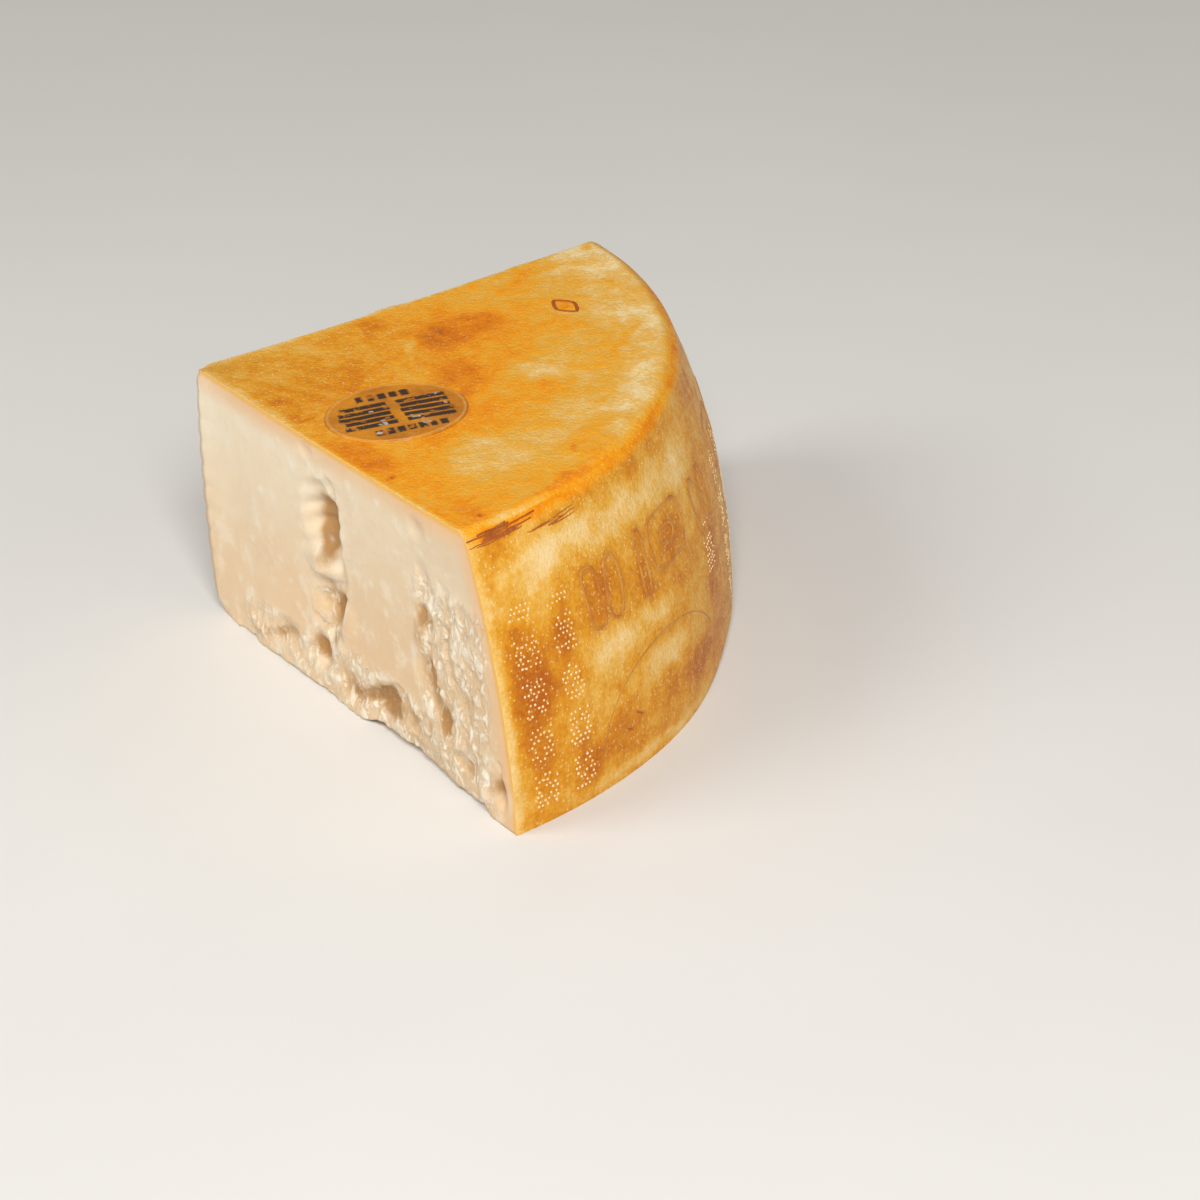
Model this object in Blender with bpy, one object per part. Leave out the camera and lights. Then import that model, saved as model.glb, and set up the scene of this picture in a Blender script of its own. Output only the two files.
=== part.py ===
"""Wedge of hard grating cheese: a quarter of the upper half of a wheel, standing on its cut underside.

The wheel's axis is the wedge's upright front edge, and the rind looks along +X.
Metres, +Z up, with the origin under the middle of the wedge's box.
"""
import math

import bmesh
import bpy
from mathutils import Matrix, Vector, noise

MM = 0.001

# The wheel
WHEEL_RADIUS = 217.2 * MM       # at the widest, where the wheel was halved
RIM_HEIGHT = 119.4 * MM
DISH_DEPTH = 5.2 * MM           # how much lower the wheel's centre lies than its rim
BARREL_DRAW_IN = 25.0 * MM      # how much narrower the side is at the rim
BARREL_POWER = 1.85
RIM_ROUND = 5.2 * MM
BACK_TUCK = 3.0 * MM            # how far the rind's foot is drawn in past its middle
BACK_TUCK_HEIGHT = 80.0 * MM
BACK_TUCK_ANGLES = (math.radians(-22), math.radians(4))
BACK_TUCK_INNER = 0.75          # share of the radius inside which nothing is drawn in
SECTOR_ANGLE = math.radians(86.86)
HALF_SECTOR = SECTOR_ANGLE / 2

# The mesh
CUT_COLUMNS = 50
CUT_ROWS = 28
SPIN_STEPS = 20
MERGE_DISTANCE = 0.01 * MM

# The upright front edge
EDGE_BULGE = 2.4 * MM
EDGE_SCALLOP = 0.6 * MM
SCALLOP_LENGTH = 10.5 * MM
EDGE_BLEND = 30.0 * MM          # how far the bulge runs out along each cut face
FOOT_ROUND = 9.0 * MM
FOOT_PULL = 2.4 * MM
CREST_ROUND = 6.0 * MM
CREST_DROP = 0.9 * MM

# The casein plate set on the rind
LABEL_CENTRE = (90.0 * MM, -32.0 * MM)
LABEL_LENGTH = 58.0 * MM
LABEL_WIDTH = 52.0 * MM
LABEL_THICKNESS = 0.9 * MM
LABEL_TURN = math.radians(28)
LABEL_SEGMENTS = 48
LABEL_RINGS = 3
CLEARANCE = 0.3 * MM

# Places where the paste broke out of a cut face, in millimetres on that face: distance from
# the front edge, height, reach towards the edge, towards the rind, down and up, turn, depth.
NEAR_HOLLOWS = (
    (91, 82, 18, 12, 21, 20, 0, 7.0),       # tall trough with a sharp far side
    (91, 45, 15, 12, 14, 13, -25, 4.6),     # the trough runs on below a ledge
    (82, 19, 12, 10, 11, 11, 0, 4.2),
    (54, 15, 13, 16, 11, 9, 30, 2.4),
    (101, 12, 11, 14, 11, 10, 10, 3.0),
    (127, 15, 22, 19, 13, 12, 22, 6.0),     # hollow under the overhanging flake
    (147, 16, 9, 9, 9, 7, -20, 3.0),
    (162, 68, 8, 7, 9, 9, 0, 3.4),
    (173, 66, 7, 7, 8, 8, 0, 2.6),
    (160, 46, 9, 8, 14, 10, 0, 3.6),
    (171, 31, 8, 9, 12, 11, 15, 3.8),
    (188, 42, 6, 6, 13, 12, 0, 2.2),
    (187, 16, 9, 8, 12, 12, 0, 2.6),
    (207, 14, 4.5, 5, 11, 9, 5, 3.4),       # notch beside the rind
    (158, 107, 7, 8, 6, 8, 0, 1.2),         # chip under the top edge
    (80, 110, 6, 7, 6, 5, 0, 1.0),
)
NEAR_LUMPS = (
    (86, 60, 13, 12, 6, 6, 12, 2.6),        # ledge that parts the two troughs
    (104, 40, 6, 7, 18, 14, -20, 1.6),
    (96, 27, 8, 8, 7, 7, 0, 1.8),
    (34, 8, 14, 14, 8, 8, 0, 1.4),
    (180, 22, 5, 5, 5, 5, 0, 1.8),
    (197, 8, 7, 6, 8, 8, 0, 2.6),
)
FAR_HOLLOWS = (
    (62, 74, 14, 17, 24, 22, 12, 6.2),
    (74, 36, 13, 14, 16, 14, -18, 4.4),
    (118, 20, 20, 22, 13, 12, 14, 5.6),
    (150, 52, 9, 10, 15, 13, 0, 3.6),
    (163, 78, 8, 9, 11, 12, 0, 3.0),
    (178, 34, 10, 9, 15, 14, 8, 3.6),
    (33, 14, 13, 12, 10, 9, 0, 2.6),
    (203, 18, 6, 6, 10, 10, 0, 2.4),
    (100, 96, 10, 9, 10, 9, 0, 2.0),
)
FAR_LUMPS = (
    (86, 111, 10, 16, 14, 12, 0, 2.2),      # the far top edge stands out here
    (150, 112, 9, 12, 12, 10, 0, 1.4),
    (70, 54, 15, 13, 7, 7, 10, 2.4),
    (136, 34, 12, 10, 9, 9, 0, 1.8),
)

# Rough bands: where crumbly relief covers a cut face, in millimetres: from, to, lowest, highest,
# and the share of the relief.
NEAR_ROUGH = ((76, 106, -5, 56, 0.7), (153, 206, -5, 90, 0.8), (92, 160, -5, 26, 0.6), (18, 100, -5, 24, 0.35))
FAR_ROUGH = ((50, 96, -5, 50, 0.8), (140, 208, -5, 96, 1.0), (12, 150, -5, 28, 0.6))
ROUGH_FADE = 10.0
CRAG_SIZE = 12.5 * MM
CRAG_DEPTH = 2.4 * MM
WAVE_SIZE = 42.0 * MM
WAVE_DEPTH = 0.7 * MM
CALM_BELOW_TOP = 9.0            # the relief dies out over this height under the rind, in millimetres

# The broken lower edge, in millimetres: along the face from, to, lifted by, drawn in by.
NEAR_EDGE_BREAKS = ((108, 172, 5.0, 2.2), (160, 203, 2.6, 1.4), (14, 30, 1.4, 0.6), (38, 96, 1.0, 0.4))
FAR_EDGE_BREAKS = ((60, 118, 5.0, 4.0), (150, 196, 4.0, 3.0))
RIND_EDGE_BREAK = (math.radians(-16), math.radians(44), 5.5 * MM)     # round the rind from, to, lift
RIND_EDGE_EASE = (0.35, 0.2)     # radians over which that break begins and ends
RIND_EDGE_FADE = 24.0 * MM
FOOT_FADE = 16.0 * MM           # height over which a cut face's broken edge fades out
HUMP_SIZE = 13.0 * MM           # size of the unevenness along a broken edge


def smooth_step(low, high, value):
    """0 below low, 1 above high, with an even ramp between."""
    share = min(max((value - low) / (high - low), 0.0), 1.0)
    return share * share * (3 - 2 * share)


def side_radius(height):
    """The barrel side: the wheel's radius at a height."""
    return WHEEL_RADIUS - BARREL_DRAW_IN * (height / RIM_HEIGHT) ** BARREL_POWER


def top_height(radius):
    """The dished top of the wheel."""
    return RIM_HEIGHT - DISH_DEPTH * (1 - (radius / side_radius(RIM_HEIGHT)) ** 2)


def section_point(along, up):
    """A point of the wheel's section, for shares 0 to 1 from the axis out and from the foot up."""
    height = up * RIM_HEIGHT
    radius = along * side_radius(height)
    height -= up * (RIM_HEIGHT - top_height(radius))
    corner_radius = side_radius(RIM_HEIGHT) - RIM_ROUND
    corner_height = RIM_HEIGHT - RIM_ROUND
    out = (radius - corner_radius) / (side_radius(height) - corner_radius)
    over = (height - corner_height) / RIM_ROUND
    if out > 0 and over > 0:
        shrink = max(out, over) / math.hypot(out, over)
        radius = corner_radius + (radius - corner_radius) * shrink
        height = corner_height + (height - corner_height) * shrink
    return Vector((radius, 0.0, height))


def patch_depth(along, up, patch):
    """Depth in metres of one hollow or lump; each of its four sides has its own reach."""
    centre_along, centre_up, towards_edge, towards_rind, down, above, turn, depth = patch
    angle = math.radians(turn)
    offset_along = along / MM - centre_along
    offset_up = up / MM - centre_up
    turned_along = offset_along * math.cos(angle) + offset_up * math.sin(angle)
    turned_up = offset_up * math.cos(angle) - offset_along * math.sin(angle)
    share_along = turned_along / (towards_rind if turned_along > 0 else towards_edge)
    share_up = turned_up / (above if turned_up > 0 else down)
    distance = share_along ** 2 + share_up ** 2
    return depth * MM * (1 - distance) ** 2 if distance < 1 else 0.0


def rough_share(along, up, bands):
    """How much of the crumbly relief a point of a cut face carries."""
    share = 0.0
    for first, last, lowest, highest, strength in bands:
        inside = (smooth_step(first, first + ROUGH_FADE, along / MM)
                  * (1 - smooth_step(last - ROUGH_FADE, last, along / MM))
                  * smooth_step(lowest - ROUGH_FADE, lowest, up / MM)
                  * (1 - smooth_step(highest - ROUGH_FADE, highest, up / MM)))
        share = max(share, inside * strength)
    return share


def crag_depth(along, up, layer):
    """Crumbly relief of broken paste: rounded lumps of about CRAG_SIZE with creases between."""
    place = Vector((along, up, layer)) / CRAG_SIZE
    nearest, second = noise.voronoi(place)[0][:2]
    crease = (1 - min((second - nearest) * 1.6, 1.0)) ** 2
    return CRAG_DEPTH * (0.7 * crease + 0.6 * noise.noise(place * 0.8))


def cut_depth(along, up, hollows, lumps, rough_bands, layer):
    """How far a point of a cut face lies behind the knife's plane."""
    depth = sum(patch_depth(along, up, hollow) for hollow in hollows)
    depth += rough_share(along, up, rough_bands) * crag_depth(along, up, layer)
    depth += WAVE_DEPTH * noise.noise(Vector((along, up, layer)) / WAVE_SIZE)
    below_top = smooth_step(0.5, CALM_BELOW_TOP, (top_height(along) - up) / MM)
    calm = 0.15 + 0.85 * below_top
    standing = sum(patch_depth(along, up, lump) for lump in lumps)
    front = (1 - min(along / EDGE_BLEND, 1.0)) ** 2
    return (depth * calm - standing) * (1 - front) - edge_bulge(up) * math.sin(HALF_SECTOR) * front


def edge_bulge(up):
    """How far the upright front edge stands out, with its row of scallops."""
    belly = max(math.sin(math.pi * min(up / RIM_HEIGHT, 1.0)), 0.0) ** 0.7
    scallop = abs(math.sin(math.pi * up / SCALLOP_LENGTH + 0.6)) - 0.5
    return belly * (EDGE_BULGE + EDGE_SCALLOP * scallop)


def edge_break(along, breaks):
    """Lift and draw-in of the broken lower edge of a cut face."""
    lift, draw = 0.0, 0.0
    for first, last, lifted, drawn in breaks:
        middle, half = (first + last) / 2, (last - first) / 2
        share = max(1 - abs(along / MM - middle) / half, 0.0)
        uneven = 0.85 + 0.35 * noise.noise(Vector((along / HUMP_SIZE, first, 0)))
        hump = smooth_step(0.0, 0.45, share) * uneven
        lift += lifted * MM * hump
        draw += drawn * MM * hump
    return lift, draw


def shape_cut_face(bm, side, hollows, lumps, rough_bands, breaks):
    """Relief on one cut face; side is -1 for the near face and 1 for the far one."""
    angle = side * HALF_SECTOR
    outward = Vector((-side * math.sin(angle), side * math.cos(angle), 0.0))
    layer = 0.05 + 0.03 * side
    for vert in bm.verts:
        along = math.hypot(vert.co.x, vert.co.y)
        if abs(vert.co.dot(outward)) > MERGE_DISTANCE or along < MERGE_DISTANCE:
            continue
        up = vert.co.z
        depth = cut_depth(along, up, hollows, lumps, rough_bands, layer)
        lift, draw = edge_break(along, breaks)
        near_foot = 1 - smooth_step(0.0, FOOT_FADE, up)
        vert.co -= outward * (depth + draw * near_foot)
        vert.co.z += lift * near_foot


def shape_front_edge(bm):
    """The upright edge bulges out, with a rounded crest and a worn foot."""
    for vert in bm.verts:
        along = math.hypot(vert.co.x, vert.co.y)
        up = vert.co.z
        if along < MERGE_DISTANCE:
            vert.co.x -= edge_bulge(up)
        foot = 1 - smooth_step(0.0, FOOT_ROUND / MM, (up + 0.5 * along) / MM)
        crest = smooth_step(-CREST_ROUND / MM, 0.0, (up - top_height(along) - along) / MM)
        vert.co.x += FOOT_PULL * foot
        vert.co.x += CREST_DROP * crest
        vert.co.z -= CREST_DROP * crest


def shape_rind_edge(bm):
    """The rind's lower edge has crumbled away a little round the back."""
    first, last, lift = RIND_EDGE_BREAK
    ease_in, ease_out = RIND_EDGE_EASE
    for vert in bm.verts:
        along = math.hypot(vert.co.x, vert.co.y)
        if along < side_radius(vert.co.z) - 1.0 * MM:
            continue
        angle = math.atan2(vert.co.y, vert.co.x)
        share = smooth_step(first, first + ease_in, angle) * (1 - smooth_step(last - ease_out, last, angle))
        near_foot = max(1 - vert.co.z / RIND_EDGE_FADE, 0.0)
        uneven = 0.8 + 0.4 * noise.noise(Vector((angle * WHEEL_RADIUS / WAVE_SIZE, 1.7, 0.0)))
        vert.co.z += lift * share * near_foot * uneven


def tuck_back(bm):
    """The wheel isn't quite round: past the middle of the rind its foot is drawn in."""
    for vert in bm.verts:
        along = math.hypot(vert.co.x, vert.co.y)
        past = smooth_step(*BACK_TUCK_ANGLES, math.atan2(vert.co.y, vert.co.x))
        low = 1 - smooth_step(0.0, BACK_TUCK_HEIGHT, vert.co.z)
        outer = smooth_step(BACK_TUCK_INNER, 1.0, along / WHEEL_RADIUS)
        if along > MERGE_DISTANCE:
            vert.co.xy -= vert.co.xy.normalized() * BACK_TUCK * past * low * outer


def material(name, colour, roughness):
    """A plain finish: base colour and roughness, no metal."""
    finish = bpy.data.materials.new(name)
    finish.use_nodes = True
    shader = finish.node_tree.nodes["Principled BSDF"]
    shader.inputs["Base Color"].default_value = (*colour, 1.0)
    shader.inputs["Roughness"].default_value = roughness
    shader.inputs["Metallic"].default_value = 0.0
    finish.diffuse_color = (*colour, 1.0)
    return finish


def add_object(name, bm, finishes):
    """Closes a bmesh into a named object with its materials."""
    bmesh.ops.recalc_face_normals(bm, faces=bm.faces[:])
    mesh = bpy.data.meshes.new(name)
    bm.to_mesh(mesh)
    bm.free()
    for finish in finishes:
        mesh.materials.append(finish)
    thing = bpy.data.objects.new(name, mesh)
    bpy.context.scene.collection.objects.link(thing)
    return thing


def make_wedge(paste, rind):
    """The wedge: the wheel's section spun through the sector, closed by two cut faces."""
    bm = bmesh.new()
    bmesh.ops.create_grid(bm, x_segments=CUT_COLUMNS, y_segments=CUT_ROWS, size=0.5)
    for vert in bm.verts:
        vert.co = section_point(vert.co.x + 0.5, vert.co.y + 0.5)
    sheet = bm.faces[:]
    outline = [edge for edge in bm.edges if edge.is_boundary
               and max(vert.co.x for vert in edge.verts) > MERGE_DISTANCE]
    far = bmesh.ops.duplicate(bm, geom=sheet)["geom"]
    far_verts = [item for item in far if isinstance(item, bmesh.types.BMVert)]
    bmesh.ops.rotate(bm, verts=far_verts, matrix=Matrix.Rotation(SECTOR_ANGLE, 3, "Z"))
    bmesh.ops.spin(bm, geom=outline, axis=(0, 0, 1), angle=SECTOR_ANGLE, steps=SPIN_STEPS)
    bmesh.ops.remove_doubles(bm, verts=bm.verts[:], dist=MERGE_DISTANCE)
    bmesh.ops.rotate(bm, verts=bm.verts[:], matrix=Matrix.Rotation(-HALF_SECTOR, 3, "Z"))
    bmesh.ops.recalc_face_normals(bm, faces=bm.faces[:])
    for face in bm.faces:
        middle = face.calc_center_median()
        outwards = Vector((middle.x, middle.y, 0)).normalized()
        face.material_index = int(face.normal.z > 0.5 or face.normal.dot(outwards) > 0.6)
    shape_cut_face(bm, -1, NEAR_HOLLOWS, NEAR_LUMPS, NEAR_ROUGH, NEAR_EDGE_BREAKS)
    shape_cut_face(bm, 1, FAR_HOLLOWS, FAR_LUMPS, FAR_ROUGH, FAR_EDGE_BREAKS)
    shape_rind_edge(bm)
    tuck_back(bm)
    shape_front_edge(bm)
    return add_object("cheese_wedge", bm, (paste, rind))


def make_label(finish):
    """The oval casein plate, which follows the dished top."""
    bm = bmesh.new()
    bmesh.ops.create_circle(bm, cap_ends=True, segments=LABEL_SEGMENTS, radius=1.0)
    for _ in range(1, LABEL_RINGS):
        inner = [face for face in bm.faces if len(face.verts) > 4]
        bmesh.ops.inset_region(bm, faces=inner, thickness=1.0 / LABEL_RINGS, use_even_offset=False)
    bottom = bm.faces[:]
    lifted = bmesh.ops.extrude_face_region(bm, geom=bottom)["geom"]
    top_verts = {item for item in lifted if isinstance(item, bmesh.types.BMVert)}
    turn = Matrix.Rotation(LABEL_TURN, 3, "Z")
    for vert in bm.verts:
        flat = turn @ Vector((vert.co.x * LABEL_LENGTH / 2, vert.co.y * LABEL_WIDTH / 2, 0.0))
        flat += Vector((*LABEL_CENTRE, 0.0))
        flat.z = top_height(flat.length) + CLEARANCE
        if vert in top_verts:
            flat.z += LABEL_THICKNESS
        vert.co = flat
    return add_object("casein_label", bm, (finish,))


def centre_under_box(things):
    """Moves the meshes so that the origin lies under the middle of their common box."""
    corners = [vert.co for thing in things for vert in thing.data.vertices]
    low = Vector([min(co[axis] for co in corners) for axis in range(3)])
    high = Vector([max(co[axis] for co in corners) for axis in range(3)])
    shift = Vector(((low.x + high.x) / 2, (low.y + high.y) / 2, low.z))
    for thing in things:
        thing.data.transform(Matrix.Translation(-shift))


def build():
    """Makes the two pieces of the model."""
    for old in list(bpy.data.objects):
        bpy.data.objects.remove(old, do_unlink=True)
    paste = material("paste", (0.78, 0.60, 0.36), 0.55)
    rind = material("rind", (0.76, 0.42, 0.07), 0.38)
    casein = material("casein", (0.72, 0.38, 0.06), 0.30)
    centre_under_box([make_wedge(paste, rind), make_label(casein)])


build()
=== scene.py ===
"""The looks of a wedge of hard grating cheese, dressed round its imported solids.

Everything on the wheel is placed from the wheel's own axis: distance out from it, angle round it
and height over the floor. Lengths in the tables below are in millimetres.
"""

import math
import random

import bpy
import numpy as np
from mathutils import Matrix, Quaternion, Vector, noise


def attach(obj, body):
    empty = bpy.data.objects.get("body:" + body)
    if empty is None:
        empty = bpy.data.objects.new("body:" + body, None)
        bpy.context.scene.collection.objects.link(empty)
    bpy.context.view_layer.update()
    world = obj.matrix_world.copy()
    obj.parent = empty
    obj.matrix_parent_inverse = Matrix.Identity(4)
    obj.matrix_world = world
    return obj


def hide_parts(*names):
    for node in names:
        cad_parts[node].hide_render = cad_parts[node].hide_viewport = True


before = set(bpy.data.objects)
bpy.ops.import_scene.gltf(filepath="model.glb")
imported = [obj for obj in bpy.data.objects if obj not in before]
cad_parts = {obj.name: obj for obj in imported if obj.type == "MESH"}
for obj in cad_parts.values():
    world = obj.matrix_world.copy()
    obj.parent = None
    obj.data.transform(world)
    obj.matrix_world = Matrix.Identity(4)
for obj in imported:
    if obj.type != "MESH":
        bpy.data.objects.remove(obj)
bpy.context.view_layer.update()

MM = 0.001

# The wheel, as the solids have it
WHEEL_AXIS = Vector((-105.76, 0.94, 0.0)) * MM      # where the axis stands in the frame
WHEEL_RADIUS = 217.2
RIM_HEIGHT = 119.4
DISH_DEPTH = 5.2
BARREL_DRAW_IN = 25.0
BARREL_POWER = 1.85
RIM_ROUND = 5.2
BACK_TUCK = 3.0
BACK_TUCK_HEIGHT = 80.0
BACK_TUCK_STARTS = math.radians(-22)
BACK_TUCK_FULL = math.radians(4)
SECTOR = math.radians(86.86)
HALF_SECTOR = SECTOR / 2
ARC_RADIUS = 205.0              # arcs along the rind are measured at this radius
SKIN = 0.05                     # what lies this close under the rind's surface belongs to it
# Slow dents of the rind, in two sizes: size, height, layer of the noise.
RIND_WAVES = ((34.0, 0.45, 4.4), (13.0, 0.22, 8.8))

# The fine mesh
CUT_COLUMNS = 208
CUT_ROWS = 116
SPIN_STEPS = 130
EDGE_BEVEL = 0.7
TINY = 0.01

# The upright front edge
EDGE_BULGE = 2.4
EDGE_SCALLOP = 0.6
SCALLOP_LENGTH = 10.5
EDGE_BLEND = 30.0
FOOT_ROUND = 9.0
FOOT_PULL = 2.4
CREST_ROUND = 6.0
CREST_DROP = 0.9

# Hollows and lumps of the cut faces: distance from the front edge, height, reach towards the
# edge, towards the rind, down and up, turn in degrees, depth.
NEAR_HOLLOWS = (
    (91, 82, 18, 12, 21, 20, 0, 7.0), (91, 45, 15, 12, 14, 13, -25, 4.6),
    (82, 19, 12, 10, 11, 11, 0, 4.2), (54, 15, 13, 16, 11, 9, 30, 2.4),
    (101, 12, 11, 14, 11, 10, 10, 3.0), (127, 15, 22, 19, 13, 12, 22, 6.0),
    (147, 16, 9, 9, 9, 7, -20, 3.0), (162, 68, 8, 7, 9, 9, 0, 3.4), (173, 66, 7, 7, 8, 8, 0, 2.6),
    (160, 46, 9, 8, 14, 10, 0, 3.6), (171, 31, 8, 9, 12, 11, 15, 3.8), (188, 42, 6, 6, 13, 12, 0, 2.2),
    (187, 16, 9, 8, 12, 12, 0, 2.6), (207, 14, 4.5, 5, 11, 9, 5, 3.4), (158, 107, 7, 8, 6, 8, 0, 1.2),
    (80, 110, 6, 7, 6, 5, 0, 1.0),
)
NEAR_LUMPS = (
    (86, 60, 13, 12, 6, 6, 12, 2.6), (104, 40, 6, 7, 18, 14, -20, 1.6), (96, 27, 8, 8, 7, 7, 0, 1.8),
    (34, 8, 14, 14, 8, 8, 0, 1.4), (180, 22, 5, 5, 5, 5, 0, 1.8), (197, 8, 7, 6, 8, 8, 0, 2.6),
)
FAR_HOLLOWS = (
    (62, 74, 14, 17, 24, 22, 12, 6.2), (74, 36, 13, 14, 16, 14, -18, 4.4),
    (118, 20, 20, 22, 13, 12, 14, 5.6), (150, 52, 9, 10, 15, 13, 0, 3.6),
    (163, 78, 8, 9, 11, 12, 0, 3.0), (178, 34, 10, 9, 15, 14, 8, 3.6), (33, 14, 13, 12, 10, 9, 0, 2.6),
    (203, 18, 6, 6, 10, 10, 0, 2.4), (100, 96, 10, 9, 10, 9, 0, 2.0),
)
FAR_LUMPS = (
    (86, 111, 10, 16, 14, 12, 0, 2.2), (150, 112, 9, 12, 12, 10, 0, 1.4),
    (70, 54, 15, 13, 7, 7, 10, 2.4), (136, 34, 12, 10, 9, 9, 0, 1.8),
)
# Where a cut face is crumbly: from, to, lowest, highest, strength.
NEAR_ROUGH = ((74, 106, -5, 56, 0.9), (150, 207, -5, 92, 1.0), (92, 165, -5, 34, 0.9),
              (18, 100, -5, 27, 0.7), (78, 104, 52, 108, 0.35))
FAR_ROUGH = ((50, 96, -5, 50, 0.9), (140, 208, -5, 96, 1.0), (12, 150, -5, 30, 0.8))
ROUGH_FADE = 10.0
WAVE_SIZE = 42.0
WAVE_DEPTH = 0.7
# Broken lower edges: from, to, lift, draw-in.
NEAR_EDGE_BREAKS = ((108, 172, 5.0, 2.2), (160, 203, 2.6, 1.4), (14, 30, 1.4, 0.6), (38, 96, 1.0, 0.4))
FAR_EDGE_BREAKS = ((60, 118, 5.0, 4.0), (150, 196, 4.0, 3.0))
RIND_EDGE_BREAK = (math.radians(-16), math.radians(44), 5.5)
RIND_EDGE_EASE = (0.35, 0.2)
RIND_EDGE_FADE = 24.0
FOOT_FADE = 16.0
HUMP_SIZE = 13.0
UNDERSIDE_SHARE = 20            # a cut's broken edge reaches under by this part of the sector
UNDERSIDE_RIM = 4.3             # and the rind's by this much

# Crisp ledges where flakes broke off, finer than the solids: points from one end to the other as
# (distance from the front edge, height), the way the paste falls back, depth, reach.
NEAR_LEDGES = (
    (((100, 101), (103, 92), (104, 80), (103, 70), (105, 61), (103, 54), (98, 46), (94, 38), (91, 30)),
     (-1, 0), 2.2, 10),
    (((104, 10), (118, 19), (130, 26), (139, 31), (145, 25), (153, 22)), (0, -1), 1.3, 11),
    (((156, 92), (158, 82), (156, 72), (160, 60), (157, 46), (161, 30)), (1, 0), 1.1, 11),
    (((171, 90), (176, 74), (172, 62), (177, 46), (174, 34)), (1, 0), 0.8, 9),
    (((24, 5), (42, 12), (58, 19), (74, 17)), (0, -1), 0.6, 9),
    (((78, 36), (86, 33), (95, 31)), (0, -1), 1.0, 8),
    (((78, 57), (88, 55), (99, 58)), (0, -1), 1.1, 7),
)
FAR_LEDGES = (
    (((78, 98), (81, 86), (79, 72), (82, 60), (80, 48), (84, 36)), (-1, 0), 1.4, 9),
    (((92, 12), (106, 22), (122, 30), (138, 27), (150, 18)), (0, -1), 1.8, 12),
    (((146, 96), (149, 80), (146, 64), (151, 46), (148, 32)), (1, 0), 1.1, 10),
    (((166, 92), (170, 74), (166, 58), (171, 40)), (1, 0), 0.8, 9),
    (((22, 8), (38, 15), (56, 20)), (0, -1), 0.7, 9),
)
LEDGE_FADE = 3
# Narrow creases: from, to, width, depth.
NEAR_CREASES = (
    ((102, 52), (93, 39), 1.8, 1.6), ((93, 39), (88, 29), 1.5, 1.2), ((161, 57), (168, 34), 1.6, 1.5),
    ((207, 26), (206, 8), 1.4, 1.4), ((166, 76), (176, 68), 1.4, 1.0), ((183, 58), (190, 44), 1.3, 0.8),
    ((120, 12), (143, 24), 1.6, 1.0), ((62, 8), (74, 17), 1.8, 0.9), ((186, 30), (180, 14), 1.5, 1.1),
)
FAR_CREASES = (
    ((80, 60), (72, 44), 1.8, 1.5), ((150, 66), (156, 44), 1.6, 1.4), ((203, 28), (201, 8), 1.4, 1.2),
    ((112, 14), (134, 25), 1.6, 1.0), ((176, 56), (184, 38), 1.4, 0.9),
)
# The scallops down the tall trough: centre, half width, half height, slope, spacing, depth.
TROUGH_LOBES = ((89, 78, 14, 26, 0.35, 8.6, 0.8), (66, 72, 16, 26, -0.4, 10.0, 0.8))
# Crumbs of three sizes: size, depth, layer of the noise.
CRUMBS = ((10.0, 1.25, 1.3), (5.4, 1.15, 8.1), (2.9, 0.75, 3.6))
GRAIN_SIZE = 2.4
GRAIN_DEPTH = 0.16
SMOOTH_GRAIN = 0.25             # share of the grain where the cut is smooth
CALM_TOP = 0.15                 # share of the relief right under the rind
CALM_REACH = 9.0
CRUMB_HEIGHT = 0.6              # crumbs are taller than wide, by noise squeezed upwards
CRUMB_LEVEL = 0.22
CRYSTAL_PROUD = 0.25
# Where crumbs fill the hollows again: from, to, lowest, highest, share.
PINCH = ((150, 205, 10, 95, 0.5), (104, 152, -5, 36, 0.35))

# Painted shade: the paste darkened in pockets and beside ledges: along, up, half length, half height, turn,
# strength.
NEAR_SHADES = (
    (90, 74, 9, 23, 8, 1.0), (93, 36, 6, 14, -15, 0.7), (130, 17, 15, 11, 20, 0.95),
    (79, 19, 7, 7, 0, 0.6), (202, 14, 4.5, 10, 0, 0.6), (155, 64, 5, 18, 0, 0.6),
    (165, 42, 4.5, 16, -8, 0.6), (170, 26, 5, 13, 0, 0.65), (44, 11, 24, 5, 22, 0.4),
    (108, 11, 22, 6, 22, 0.5), (157, 20, 10, 10, 0, 0.4), (86, 61, 10, 4, 0, 0.35),
)
FAR_SHADES = (
    (60, 76, 12, 24, -6, 0.4), (72, 36, 8, 14, 15, 0.3), (116, 20, 18, 11, -15, 0.35),
    (150, 56, 6, 18, 0, 0.25), (178, 34, 6, 16, 0, 0.3), (30, 14, 14, 7, 0, 0.2),
)
LOOK_ASIDE = 7                  # a pocket is deeper than the paste this far to its sides
# Weights of the painted shade: by a pocket's depth, by how much deeper it is than its sides, in the crumbs'
# crevices, and from the tables above.
DEPTH_SHADE, POCKET_SHADE, CRUMB_SHADE, PAINTED_SHADE = 0.05, 0.13, 0.24, 0.8
# The pale line and strip along the cuts are partly the cut rind's paler section and partly painted
# highlight.
EDGE_LINE = 1.0                 # width of the pale line where the top meets a cut
SIDE_STRIP = 3.2                # and of the paler strip where the side does

# White crystals that show in the cut face: distance from the front edge, height, radius.
NEAR_CRYSTALS = (
    (43, 76, 2.2), (38, 59, 3.2), (69, 98, 2.6), (61, 42, 1.4), (29, 24, 1.8), (124, 68, 1.6),
    (113, 74, 1.2), (134, 60, 2.2), (139, 51, 1.8), (111, 106, 2.6), (152, 52, 3.4), (179, 82, 1.8),
    (184, 89, 1.4), (65, 33, 1.6), (20, 88, 1.2), (89, 72, 1.6), (92, 54, 2.4), (170, 77, 3.0),
    (183, 20, 3.4), (199, 8, 4.6), (186, 50, 1.8), (194, 47, 1.4), (144, 46, 1.6), (82, 103, 2.0),
    (60, 105, 1.8), (132, 107, 1.8),
)
FAR_CRYSTAL_COUNT = 34

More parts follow.
